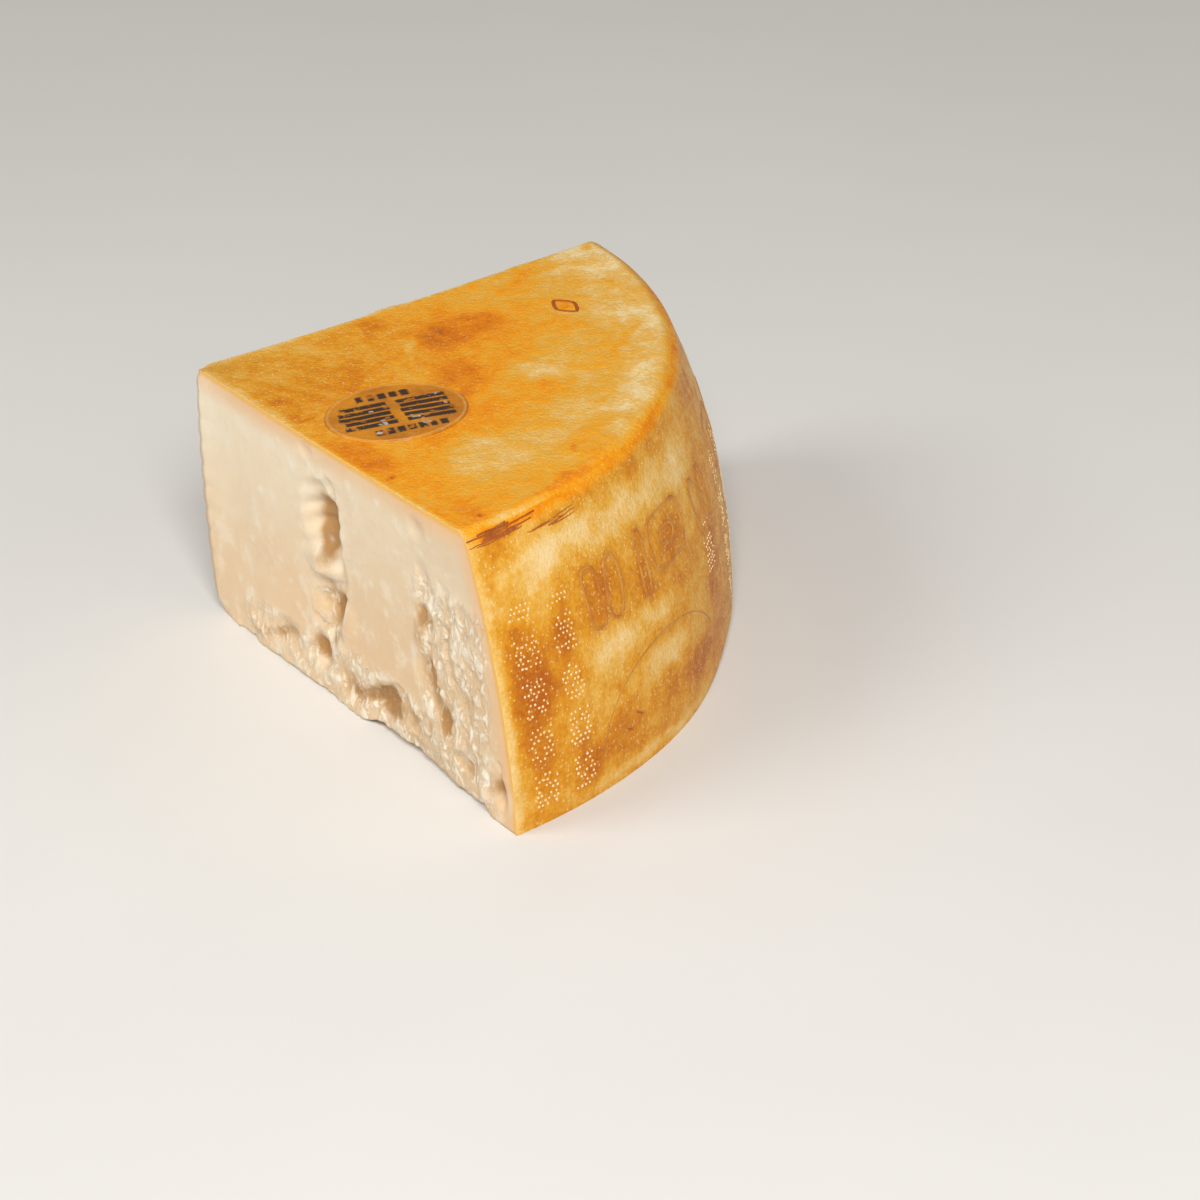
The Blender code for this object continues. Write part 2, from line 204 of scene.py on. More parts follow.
# Colour fields of the rind. Top: along the bisector, across it, half length, half width, turn,
# strength. Side: arc from the near cut, height, half length, half height, turn, strength.
TOP_DEEP = (
    (60, 25, 38, 9, 84, 0.9), (36, -26, 26, 9, -42, 0.95), (98, 44, 30, 26, 40, 1.0),
    (108, 2, 17, 18, 0, 0.9), (88, -68, 32, 12, -42, 1.0), (110, -54, 12, 12, 0, 0.6),
    (119, -25, 14, 5, 80, 0.8), (140, -113, 26, 8, -42, 0.7), (169, -84, 40, 4.6, 62, 0.9),
    (166, 42, 34, 3.5, 88, 0.65), (150, 68, 10, 5, 60, 0.5), (122, 96, 26, 6, 42, 0.45),
)
TOP_STRAW = (
    (142, -62, 34, 48, -20, 1.0), (140, 74, 24, 50, 25, 0.8), (140, 22, 26, 32, 0, 0.7),
    (112, 104, 30, 12, 42, 0.6), (26, 8, 16, 10, 40, 0.4), (158, -20, 14, 40, 0, 0.8),
)
TOP_PALE = (
    (141, 8, 26, 9, -8, 0.55), (154, -112, 24, 3.2, 54, 0.85), (84, 24, 28, 3, 106, 0.45),
    (80, -76, 4.5, 2.5, -40, 1.0), (166, -41, 2.8, 1.8, 0, 1.0), (46, 38, 10, 3, 42, 0.35),
    (136, 112, 14, 7, 30, 0.5),
)
TOP_STAIN = (
    (165, -60, 7, 1.8, 76, 0.9), (138, 68, 9, 6, -38, 0.75), (104, -90, 5, 2.2, 70, 0.8),
    (134, 122, 3.5, 2.6, 0, 0.8), (151, 95, 2.6, 1.8, 10, 0.8), (144, -114, 4.5, 2.2, 30, 0.9),
    (138, -98, 14, 2.2, 66, 0.4), (66, 2, 4, 14, 20, 0.5), (116, -12, 4, 7, 10, 0.5),
)
# What makes the fields' borders uneven: size, reach, and two layers of the noise.
FIELD_WARPS = ((22.0, 7.0, 1.1, 6.1), (8.0, 3.0, 3.1, 4.1))
# The cream band of the top along the rim: where it grows outwards and where it grows round.
RIM_CREAM = (154, 184, math.radians(-18), math.radians(-5))
# Tones run from pale at 0 to brown at 1: the bare rind, then what the fields above add to it.
TOP_BARE, TOP_DEEPER, TOP_STRAWS, TOP_PALER, TOP_STAINED = 0.58, 0.30, -0.26, -0.50, 0.50
SIDE_BARE, SIDE_DEEPER, SIDE_PALER, SIDE_STAINED = 0.57, 0.28, -0.44, 0.17
# Tones of the cut-edge line and strip: partly the cut rind's paler section, partly painted highlight.
TOP_EDGE_TONE = 0.10
SIDE_EDGE_TONE = 0.22
SIDE_DEEP = (
    (15, 52, 17, 44, 0, 1.0), (33, 72, 11, 18, 0, 0.85), (35, 18, 15, 17, 0, 0.9),
    (60, 18, 20, 16, 0, 0.95), (84, 72, 10, 18, 0, 0.9), (106, 78, 19, 14, 0, 0.85),
    (112, 20, 44, 11, -3, 0.8), (142, 44, 19, 28, 0, 0.85), (150, 80, 15, 18, 0, 0.35),
    (176, 106, 26, 10, 0, 0.5), (118, 60, 28, 10, 0, 0.55), (30, 116.5, 36, 3.4, 0, 0.95),
    (150, 117, 110, 2.4, 0, 0.6), (56, 76, 14, 12, 0, 0.5), (17, 115.6, 17, 2.8, 3, 0.9),
    (196, 50, 15, 42, 0, 0.9), (222, 48, 13, 38, 0, 0.85), (250, 76, 26, 17, 0, 0.85),
    (246, 22, 32, 13, 0, 0.9), (292, 58, 18, 34, 0, 0.8),
)
SIDE_PALE = (
    (72, 101, 68, 13, 0, 1.0), (132, 97, 30, 13, 0, 1.0), (58, 54, 26, 12, 0, 0.7),
    (88, 36, 25, 11, 0, 0.9), (86, 56, 28, 9, 0, 0.6), (75, 4, 62, 4.5, 0, 0.7),
    (0.5, 60, 4.5, 78, 0, 0.9), (250, 100, 56, 12, 0, 0.85), (208, 60, 20, 18, 0, 0.55),
    (272, 48, 14, 14, 0, 0.6), (26, 99, 26, 11, 0, 0.9),
)
SIDE_STAIN = (
    (15, 62, 7, 32, 0, 0.85), (15, 20, 8, 18, 0, 0.85), (33, 74, 7, 13, 0, 0.7),
    (33, 26, 7, 10, 0, 0.7), (84, 70, 4, 15, 0, 0.7), (106, 79, 13, 9, 0, 0.55),
    (112, 19, 32, 5.5, -3, 0.75), (59, 19, 3.5, 3.5, 0, 0.9), (140, 40, 9, 16, 0, 0.65),
    (176, 108, 18, 6, 0, 0.6), (137, 101, 1.6, 13, 0, 0.7), (14, 95, 1.6, 9, 4, 0.7),
    (17, 115.8, 18, 2.2, 3, 1.0), (42, 110.8, 17, 1.7, 1, 0.8), (196, 52, 7, 34, 0, 0.75),
    (222, 48, 6, 30, 0, 0.7), (250, 76, 12, 9, 0, 0.55), (246, 20, 22, 6, 0, 0.7),
)
# Marks on the rind's side, as plain closed outlines: arc, height, half width, half height,
# squareness, lean in degrees.
SIDE_MARKS = (
    (52, 77, 4.2, 12.0, 4, -4), (64, 77, 4.6, 12.0, 2.4, 5), (84.5, 77, 2.6, 12.5, 4, 3),
    (106, 79, 14.0, 10.5, 5, 2), (106, 79, 5.5, 3.6, 2, 2), (139, 74, 4.6, 12.0, 2.2, -8),
    (150, 75, 3.0, 11.0, 4, -4), (192, 78, 13.0, 10.5, 5, 0), (192, 78, 5.0, 3.6, 2, 0),
    (222, 77, 4.4, 12.0, 2.6, 4), (236, 77, 4.4, 12.0, 4, -3), (262, 77, 12.0, 10.0, 2.2, 0),
)
# Upper halves of round seals: arc, height, half width, half height.
SEALS = ((89, 8, 47, 39), (238, 6, 44, 36))
MARK_RADIUS = 0.85
MARK_SHOWS = 0.42               # how far a line stands out of the rind
MARK_STAIN = 1.7                # how far its stain reaches
MARK_POINTS = 44
SEAL_POINTS = 150
TOP_MARK_RADIUS = 1.1
TOP_MARK = (138, 68, 7.2, 4.4, -38)         # along, across, half length, half width, turn

# Scratches in the rind, as bundles of fine strokes: arc and height of both ends, and strokes.
SCRATCHES = (
    ((1.5, 115.0), (34, 116.6), 11), ((27, 110.6), (58, 111.2), 7),
    ((56, 21), (61, 17.5), 3), ((63, 25), (68, 20.5), 3),
)
STROKE_RADIUS = 0.30
STROKE_GAP = 0.42
STROKE_DRIFT = 0.35
STROKE_POINTS = 14
SHORTEST_STROKE = 0.15

# The pin-point dots: worn blocks of plain rows up each column, as arc, lowest and highest height.
DOT_COLUMNS = ((14.5, 8, 88), (33, 8, 86), (141, 46, 66), (176, 10, 84), (196, 10, 84), (284, 12, 82))
DOT_PITCH = 2.1
DOT_RADIUS = 0.62
DOT_SHOWS = 0.36
DOTS_ACROSS = 5
DOT_BLOCK = 9                   # rows of a block, the last two of them bare
DOT_SHARE = 0.72
DOT_STRAY = 0.3
DOT_FLATTEN = 0.8

# The casein plate
PLATE_CENTRE = (90.0, -32.0)
PLATE_LENGTH = 57.4
PLATE_WIDTH = 51.4
PLATE_TURN = math.radians(28)
PLATE_RINGS = 56
PLATE_SEGMENTS = 176
PLATE_PROUD = 0.65
PLATE_LIP = 0.32
PLATE_LIP_PLACE = 0.955         # of the plate's own radius
PLATE_SUNK = 0.25
PLATE_RIPPLE = 0.10

FLOOR_SIZE = 12.0

# The camera, from the photograph
CAMERA_TARGET = Vector((155.84, 31.25, 0.0)) * MM
CAMERA_DISTANCE = 1.5632
CAMERA_RISE = math.radians(29.784)
CAMERA_SWING = math.radians(11.640)
CAMERA_ROLL = math.radians(-1.997)
CAMERA_LENS = 111.98
CAMERA_SENSOR = 36.0
CAMERA_REACH = 40.0

# Lights, in metres and watts: name, place, power, size, colour
LIGHTS = (
    ("key", (0.5, -1.7, 1.7), 48.0, 0.8, (1.0, 0.985, 0.96)),
    ("left", (-1.4, -0.7, 1.5), 15.5, 0.9, (1.0, 0.98, 0.95)),
    ("right", (1.7, -0.3, 0.8), 3.5, 1.0, (1.0, 0.98, 0.95)),
    ("sheen", (0.2, 1.7, 1.3), 1.2, 0.25, (1.0, 1.0, 1.0)),
)
LIGHTS_AIM = Vector((0, 0, 0.05))
ROOM_COLOUR = (1.0, 0.95, 0.88, 1.0)
ROOM_LIGHT = 0.20

draw = random.Random(41)


def ramp(low, high, value):
    """0 below low, 1 above high, with an even ramp between; for numbers and arrays."""
    share = np.clip((value - low) / (high - low), 0.0, 1.0)
    return share * share * (3 - 2 * share)


def field(places, size, layer=0.0):
    """Smooth noise from -1 to 1 at each place, with features of about size."""
    scaled = places / size + layer
    return np.array([noise.noise(Vector(place)) for place in scaled])


def side_radius(up):
    """The barrel side's radius at a height."""
    return WHEEL_RADIUS - BARREL_DRAW_IN * (np.clip(up, 0, None) / RIM_HEIGHT) ** BARREL_POWER


def top_height(out):
    """The dished top's height at a distance from the axis."""
    return RIM_HEIGHT - DISH_DEPTH * (1 - (out / side_radius(RIM_HEIGHT)) ** 2)


def section(along, rise):
    """Points of the wheel's section for shares 0 to 1 out from the axis and up from the foot."""
    up = rise * RIM_HEIGHT
    out = along * side_radius(up)
    up = up - rise * (RIM_HEIGHT - top_height(out))
    corner_out = side_radius(RIM_HEIGHT) - RIM_ROUND
    corner_up = RIM_HEIGHT - RIM_ROUND
    past = (out - corner_out) / (side_radius(up) - corner_out)
    over = (up - corner_up) / RIM_ROUND
    corner = (past > 0) & (over > 0)
    shrink = np.where(corner, np.maximum(past, over) / np.maximum(np.hypot(past, over), TINY), 1.0)
    return corner_out + (out - corner_out) * shrink, corner_up + (up - corner_up) * shrink


def spot(first, second, patch):
    """Strength of one uneven patch at each place: 1 at its middle, 0 at its rim."""
    middle_first, middle_second, less, more, down, above, turn = patch
    turn = math.radians(turn)
    across, upward = first - middle_first, second - middle_second
    turned = across * math.cos(turn) + upward * math.sin(turn)
    raised = upward * math.cos(turn) - across * math.sin(turn)
    distance = (turned / np.where(turned > 0, more, less)) ** 2
    distance = distance + (raised / np.where(raised > 0, above, down)) ** 2
    return np.clip(1 - distance, 0, None) ** 2


def patches(along, up, table):
    """Summed depth of a table of hollows or lumps."""
    return sum(patch[7] * spot(along, up, patch[:7]) for patch in table)


def blobs(first, second, table):
    """Soft colour fields laid over each other, 0 to 1."""
    bare = np.ones_like(first)
    for middle_first, middle_second, half_first, half_second, turn, weight in table:
        patch = (middle_first, middle_second, half_first, half_first, half_second, half_second, turn)
        bare *= 1 - weight * np.minimum(spot(first, second, patch) * 1.25, 1.0)
    return 1 - bare


def ledge_depth(along, up, ledge):
    """A flake's crisp edge: the paste falls back on one side of a broken line and rises again."""
    line, (sideways, upwards), depth, reach = ledge
    run, fall = (1, 0) if sideways else (0, 1)
    points = np.array(sorted(line, key=lambda point: point[run]), float)
    here, beside = (up, along) if sideways else (along, up)
    behind = (beside - np.interp(here, points[:, run], points[:, fall])) * (sideways or upwards)
    first, last = points[0, run], points[-1, run]
    inside = ramp(first - LEDGE_FADE, first + LEDGE_FADE, here)
    inside = inside * (1 - ramp(last - LEDGE_FADE, last + LEDGE_FADE, here))
    return depth * ramp(0.0, 1.3, behind) * (1 - ramp(0.3 * reach, reach, behind)) * inside


def crease_depth(along, up, crease):
    """A narrow groove between two points."""
    start, end, width, depth = crease
    start, end = np.array(start, float), np.array(end, float)
    run = end - start
    share = np.clip(((along - start[0]) * run[0] + (up - start[1]) * run[1]) / (run @ run), 0, 1)
    distance = np.hypot(along - start[0] - share * run[0], up - start[1] - share * run[1])
    return depth * np.exp(-(distance / width) ** 2)


def rough_share(along, up, bands):
    """How much crumbly relief each place of a cut face carries."""
    share = np.zeros_like(along)
    for first, last, lowest, highest, strength in bands:
        inside = (ramp(first, first + ROUGH_FADE, along) * (1 - ramp(last - ROUGH_FADE, last, along))
                  * ramp(lowest - ROUGH_FADE, lowest, up) * (1 - ramp(highest - ROUGH_FADE, highest, up)))
        share = np.maximum(share, inside * strength)
    return share


def edge_bulge(up):
    """How far the upright front edge stands out, with its row of scallops."""
    belly = np.clip(np.sin(np.pi * np.clip(up / RIM_HEIGHT, 0, 1)), 0, None) ** 0.7
    return belly * (EDGE_BULGE + EDGE_SCALLOP * (np.abs(np.sin(np.pi * up / SCALLOP_LENGTH + 0.6)) - 0.5))


def edge_break(along, breaks):
    """Lift and draw-in of the broken lower edge of a cut face."""
    lift, drawn_in = np.zeros_like(along), np.zeros_like(along)
    for first, last, lifted, drawn in breaks:
        share = np.clip(1 - np.abs(along - (first + last) / 2) / ((last - first) / 2), 0, None)
        places = np.stack([along, np.full_like(along, first * HUMP_SIZE), np.zeros_like(along)], 1)
        hump = ramp(0.0, 0.45, share) * (0.85 + 0.35 * field(places, HUMP_SIZE))
        lift += lifted * hump
        drawn_in += drawn * hump
    return lift, drawn_in


class CutFace:
    """One cut face: the tables that shape it and the side of the wedge it closes."""

    def __init__(self, side, hollows, lumps, rough, breaks, ledges, creases, crystals):
        self.side, self.hollows, self.lumps, self.rough = side, hollows, lumps, rough
        self.breaks, self.ledges, self.creases, self.crystals = breaks, ledges, creases, crystals
        self.outward = np.array((-side * math.sin(side * HALF_SECTOR),
                                 side * math.cos(side * HALF_SECTOR), 0.0))
        self.layer = (0.05 + 0.03 * side) / MM

    def depth(self, along, up):
        """How far each place lies behind the knife's plane."""
        places = np.stack([along, up, np.full_like(along, self.layer)], 1)
        rough = rough_share(along, up, self.rough)
        depth = patches(along, up, self.hollows) * (1 - rough_share(along, up, PINCH))
        depth += rough * self.crumble(places)
        depth += WAVE_DEPTH * field(places, WAVE_SIZE)
        depth += self.fine_depth(along, up, places)
        depth += (SMOOTH_GRAIN + rough) * GRAIN_DEPTH * field(places, GRAIN_SIZE, 2.2)
        calm = CALM_TOP + (1 - CALM_TOP) * ramp(0.5, CALM_REACH, top_height(along) - up)
        front = (1 - np.minimum(along / EDGE_BLEND, 1.0)) ** 2
        standing = patches(along, up, self.lumps)
        return (depth * calm - standing) * (1 - front) - edge_bulge(up) * math.sin(HALF_SECTOR) * front

    def crumble(self, places):
        """Broken paste: upright winding ridges with crumbs of three sizes on them, up and down."""
        upright = places * np.array((1.0, CRUMB_HEIGHT, 1.0))
        upright[:, 0] += 2.5 * field(places, 9.0, 1.9)
        return sum(depth * (CRUMB_LEVEL - np.abs(field(upright, size, layer)))
                   for size, depth, layer in CRUMBS)

    def fine_depth(self, along, up, places):
        """Relief finer than the solids: ledges, creases, scallops and crystals."""
        depth = self.flakes(along + 1.6 * field(places, 9.0, 3.1), up + 1.4 * field(places, 8.0, 7.7))
        depth += sum(crease_depth(along, up, crease) for crease in self.creases)
        middle, height, half_width, half_height, slope, spacing, lobe = TROUGH_LOBES[(self.side + 1) // 2]
        inside = np.exp(-((along - middle) / half_width) ** 2 - ((up - height) / half_height) ** 2)
        bent = up - slope * (along - middle) + 2.0 * field(places, 14.0, 5.5)
        depth += lobe * inside * np.sin(2 * np.pi * bent / spacing)
        return depth - CRYSTAL_PROUD * self.crystal(along, up, places)

    def flakes(self, along, up):
        """The crisp ledges alone."""
        return sum(ledge_depth(along, up, ledge) for ledge in self.ledges)

    def painted_shading(self, along, up):
        """Painted shade by how deep in a pocket each place sits, from the hollows, the ledges beside it and
        the crumbs; painted highlight below zero.
        """
        places = np.stack([along, up, np.full_like(along, self.layer)], 1)
        sides = []
        for step_along, step_up in ((LOOK_ASIDE, 0), (-LOOK_ASIDE, 0), (0, LOOK_ASIDE), (0, -LOOK_ASIDE)):
            beside, above = along + step_along, up + step_up
            sides.append(patches(beside, above, self.hollows) + self.flakes(beside, above))
        own = patches(along, up, self.hollows)
        # Painted shade deepens in pockets and crevices; crests and lumps go below zero, for a painted
        # highlight.
        pocket = DEPTH_SHADE * own + POCKET_SHADE * (own + self.flakes(along, up) - sum(sides) / 4)
        return pocket + CRUMB_SHADE * rough_share(along, up, self.rough) * self.crumble(places)

    def crystal(self, along, up, places):
        """White crystal spots, 1 at their middles."""
        wobble = 1 + 0.5 * field(places, 3.0, 9.1)
        strength = np.zeros_like(along)
        for middle, height, radius in self.crystals:
            distance = np.hypot(along - middle, up - height) * wobble
            strength = np.maximum(strength, np.exp(-(distance / (0.8 * radius)) ** 2))
        return strength


FAR_CRYSTALS = [(draw.uniform(15, 200), draw.uniform(12, 108), draw.uniform(1.0, 3.0))
                for _ in range(FAR_CRYSTAL_COUNT)]
NEAR_FACE = CutFace(-1, NEAR_HOLLOWS, NEAR_LUMPS, NEAR_ROUGH, NEAR_EDGE_BREAKS, NEAR_LEDGES,
                    NEAR_CREASES, NEAR_CRYSTALS)
FAR_FACE = CutFace(1, FAR_HOLLOWS, FAR_LUMPS, FAR_ROUGH, FAR_EDGE_BREAKS, FAR_LEDGES,
                   FAR_CREASES, FAR_CRYSTALS)


def tuck(angle, up, out):
    """How far the rind's foot is drawn in past the middle of the rind."""
    past = ramp(BACK_TUCK_STARTS, BACK_TUCK_FULL, angle)
    return BACK_TUCK * past * (1 - ramp(0.0, BACK_TUCK_HEIGHT, up)) * ramp(0.75, 1.0, out / WHEEL_RADIUS)


def rind_wave(places):
    """Slow dents and swellings of the rind, felt along its normal."""
    return sum(height * field(places, size, layer) for size, height, layer in RIND_WAVES)


def side_point(arc, up, proud):
    """A point on the rind's side, standing proud of it, in the frame's metres."""
    angle = arc / ARC_RADIUS - HALF_SECTOR
    out = float(side_radius(up))
    place = np.array([[out * math.cos(angle), out * math.sin(angle), up]])
    out += float(rind_wave(place)[0]) + proud - float(tuck(angle, up, out))
    return Vector((out * math.cos(angle), out * math.sin(angle), up)) * MM + WHEEL_AXIS


def top_point(along, across, proud):
    """A point on the rind's top, standing proud of it, in the frame's metres."""
    up = float(top_height(math.hypot(along, across)))
    up += float(rind_wave(np.array([[along, across, up]]))[0]) + proud
    return Vector((along, across, up)) * MM + WHEEL_AXIS


def select_only(*things):
    """Selects these objects alone and makes the first one active."""
    bpy.ops.object.select_all(action="DESELECT")
    for thing in things:
        thing.select_set(True)
    bpy.context.view_layer.objects.active = things[0]


def clear_mesh_selection(thing):
    """Selects one object alone, with nothing selected in its mesh."""
    select_only(thing)
    bpy.ops.object.mode_set(mode="EDIT")
    bpy.ops.mesh.select_all(action="DESELECT")
    bpy.ops.object.mode_set(mode="OBJECT")


def apply_all(thing):
    """Applies every modifier of a piece, top to bottom."""
    select_only(thing)
    for modifier in list(thing.modifiers):
        bpy.ops.object.modifier_apply(modifier=modifier.name)


def read_places(mesh):
    """Vertex places of a mesh as an array."""
    places = np.zeros(len(mesh.vertices) * 3)
    mesh.vertices.foreach_get("co", places)
    return places.reshape(-1, 3)


def write_places(mesh, places):
    """Puts vertex places back into a mesh."""
    mesh.vertices.foreach_set("co", np.asarray(places, np.float32).ravel())
    mesh.update()


def paint(mesh, name, values):
    """Stores one number for each vertex, for the materials to read."""
    layer = mesh.attributes.new(name, "FLOAT", "POINT")
    layer.data.foreach_set("value", np.asarray(values, np.float32))


def spun_blank():
    """A grid bent to the wheel's section, its outline spun through the sector, the far cut closed."""
    bpy.ops.object.select_all(action="DESELECT")
    bpy.ops.mesh.primitive_grid_add(x_subdivisions=CUT_COLUMNS, y_subdivisions=CUT_ROWS, size=1.0)
    blank = bpy.context.active_object
    blank.name = "cheese_body"
    shares = read_places(blank.data) + 0.5
    out, up = section(shares[:, 0], shares[:, 1])
    write_places(blank.data, np.stack([out, np.zeros_like(out), up], 1) * MM)
    far = blank.copy()
    far.data = blank.data.copy()
    bpy.context.scene.collection.objects.link(far)
    far.data.transform(Matrix.Rotation(SECTOR, 4, "Z"))

    clear_mesh_selection(blank)
    face_count = np.zeros(len(blank.data.edges), int)
    for polygon in blank.data.polygons:
        for key in polygon.loop_indices:
            face_count[blank.data.loops[key].edge_index] += 1
    for edge in blank.data.edges:
        ends = [blank.data.vertices[index].co.x for index in edge.vertices]
        edge.select = bool(face_count[edge.index] == 1 and max(ends) > TINY * MM)
    bpy.ops.object.mode_set(mode="EDIT")
    bpy.ops.mesh.select_mode(type="EDGE")
    bpy.ops.mesh.spin(steps=SPIN_STEPS, angle=-SECTOR, center=(0, 0, 0), axis=(0, 0, 1))
    bpy.ops.object.mode_set(mode="OBJECT")

    select_only(blank, far)
    bpy.ops.object.join()
    bpy.ops.object.mode_set(mode="EDIT")
    bpy.ops.mesh.select_mode(type="VERT")
    bpy.ops.mesh.select_all(action="SELECT")
    bpy.ops.mesh.remove_doubles(threshold=TINY * MM)
    bpy.ops.mesh.normals_make_consistent(inside=False)
    bpy.ops.object.mode_set(mode="OBJECT")
    blank.data.transform(Matrix.Rotation(-HALF_SECTOR, 4, "Z"))
    return blank


def classify(places):
    """Distance from the axis, and which vertices are on the axis, each cut and the underside."""
    out = np.hypot(places[:, 0], places[:, 1])
    axis = out < TINY
    near = (np.abs(places @ NEAR_FACE.outward) < TINY) & ~axis
    far = (np.abs(places @ FAR_FACE.outward) < TINY) & ~axis
    under = places[:, 2] < TINY
    return out, axis, near, far, under


def split_finishes(mesh):
    """Gives rind faces the second finish and marks the edges between rind and paste for a bevel."""
    places = read_places(mesh) / MM
    count = len(mesh.polygons)
    corners, edges_of = np.zeros(len(mesh.loops), int), np.zeros(len(mesh.loops), int)
    mesh.loops.foreach_get("vertex_index", corners)
    mesh.loops.foreach_get("edge_index", edges_of)
    starts, totals = np.zeros(count, int), np.zeros(count, int)
    mesh.polygons.foreach_get("loop_start", starts)
    mesh.polygons.foreach_get("loop_total", totals)
    owner = np.repeat(np.arange(count), totals)
    middles = np.add.reduceat(places[corners], starts, axis=0) / totals[:, None]
    on_cut = (np.abs(middles @ NEAR_FACE.outward) < TINY) | (np.abs(middles @ FAR_FACE.outward) < TINY)
    rind = ~(on_cut | (middles[:, 2] < TINY))
    mesh.polygons.foreach_set("material_index", rind.astype(np.int32))
    rind_sides = np.zeros(len(mesh.edges), int)
    np.add.at(rind_sides, edges_of, rind[owner].astype(int))
    layer = mesh.attributes.new("bevel_weight_edge", "FLOAT", "EDGE")
    layer.data.foreach_set("value", (rind_sides == 1).astype(np.float32))


def shape_cut(face, places, moved, out, up, on_face, beside):
    """Relief and broken foot of one cut face, carried on a little way under the wedge."""
    along, height = out[on_face], up[on_face]
    depth = face.depth(along, height)
    lift, drawn_in = edge_break(along, face.breaks)
    foot = 1 - ramp(0.0, FOOT_FADE, height)
    moved[on_face] -= face.outward * (depth + drawn_in * foot)[:, None]
    moved[on_face, 2] += lift * foot

    reach = np.maximum(out * SECTOR / UNDERSIDE_SHARE, TINY)
    share = 1 + (places @ face.outward) / reach
    beside = beside & (share > 0)
    lift, drawn_in = edge_break(out[beside], face.breaks)
    depth_below = face.depth(out[beside], np.zeros(beside.sum()))
    moved[beside] -= face.outward * ((depth_below + drawn_in) * share[beside])[:, None]
    moved[beside, 2] += lift * share[beside]
    return face.painted_shading(along, height)


def break_rind_edge(moved, out, angle, up, side):
    """The rind's lower edge, crumbled away a little round the back."""
    first, last, lift = RIND_EDGE_BREAK
    ease_in, ease_out = RIND_EDGE_EASE
    share = ramp(first, first + ease_in, angle) * (1 - ramp(last - ease_out, last, angle))
    uneven = 0.8 + 0.4 * field(np.stack([angle * WHEEL_RADIUS / WAVE_SIZE, np.full_like(angle, 1.7),
                                         np.zeros_like(angle)], 1), 1.0)
    fade = np.where(side, np.clip(1 - up / RIND_EDGE_FADE, 0, None),
                    np.clip(1 - (WHEEL_RADIUS - out) / UNDERSIDE_RIM, 0, None) * (up < TINY))
    moved[:, 2] += lift * share * uneven * fade


def shape_wedge(mesh):
    """Moves the blank's vertices: relief of both cuts, broken edges, front edge and rind."""
    places = read_places(mesh) / MM
    out, axis, near, far, under = classify(places)
    angle = np.arctan2(places[:, 1], places[:, 0])
    up = places[:, 2].copy()
    side = out > side_radius(up) - SKIN
    rim = (up > RIM_HEIGHT - RIM_ROUND) & (out > side_radius(RIM_HEIGHT) - RIM_ROUND)
    rind = ~axis & ~under & (side | (up > top_height(out) - SKIN) | rim)
    moved = places.copy()
    painted_shading, crystal = np.zeros(len(places)), np.zeros(len(places))
    beside = under & ~near & ~far & ~axis
    for face, on_face in ((NEAR_FACE, near), (FAR_FACE, far)):
        painted_shading[on_face] = shape_cut(face, places, moved, out, up, on_face, beside)
        flat = np.stack([out[on_face], up[on_face], np.full(on_face.sum(), face.layer)], 1)
        crystal[on_face] = face.crystal(out[on_face], up[on_face], flat)
    break_rind_edge(moved, out, angle, up, side)
    out_now = np.hypot(moved[:, 0], moved[:, 1])
    direction = moved[:, :2] / np.maximum(out_now, TINY)[:, None]
    moved[:, :2] -= direction * np.where(axis, 0, tuck(angle, moved[:, 2], out_now))[:, None]

    normal = np.zeros_like(places)
    slope = ramp(RIM_HEIGHT - RIM_ROUND - 1.0, RIM_HEIGHT - 0.6, up + 0.02 * (out - 190))
    normal[:, :2] = direction * (1 - slope)[:, None]
    normal[:, 2] = slope
    moved[rind] += normal[rind] * rind_wave(places[rind])[:, None]

    moved[axis, 0] -= edge_bulge(up[axis])
    foot = 1 - ramp(0.0, FOOT_ROUND, up + 0.5 * out)
    crest = ramp(-CREST_ROUND, 0.0, up - top_height(out) - out)
    moved[:, 0] += FOOT_PULL * foot + CREST_DROP * crest
    moved[:, 2] -= CREST_DROP * crest
    write_places(mesh, moved * MM)
    return places, out, angle, up, painted_shading, crystal


def pressed(arc, up):
    """Staining beside the pressed outlines, 1 on them and 0 some way off."""
    nearest = np.full_like(arc, 99.0)
    for mark in SIDE_MARKS:
        outline = np.array(outline_points(*mark, MARK_POINTS))
        close = (np.abs(arc - mark[0]) < mark[2] + 12) & (np.abs(up - mark[1]) < mark[3] + 12)
        gaps = np.hypot(arc[close][:, None] - outline[:, 0], up[close][:, None] - outline[:, 1])
        nearest[close] = np.minimum(nearest[close], gaps.min(1))
    return np.exp(-(nearest / MARK_STAIN) ** 2)


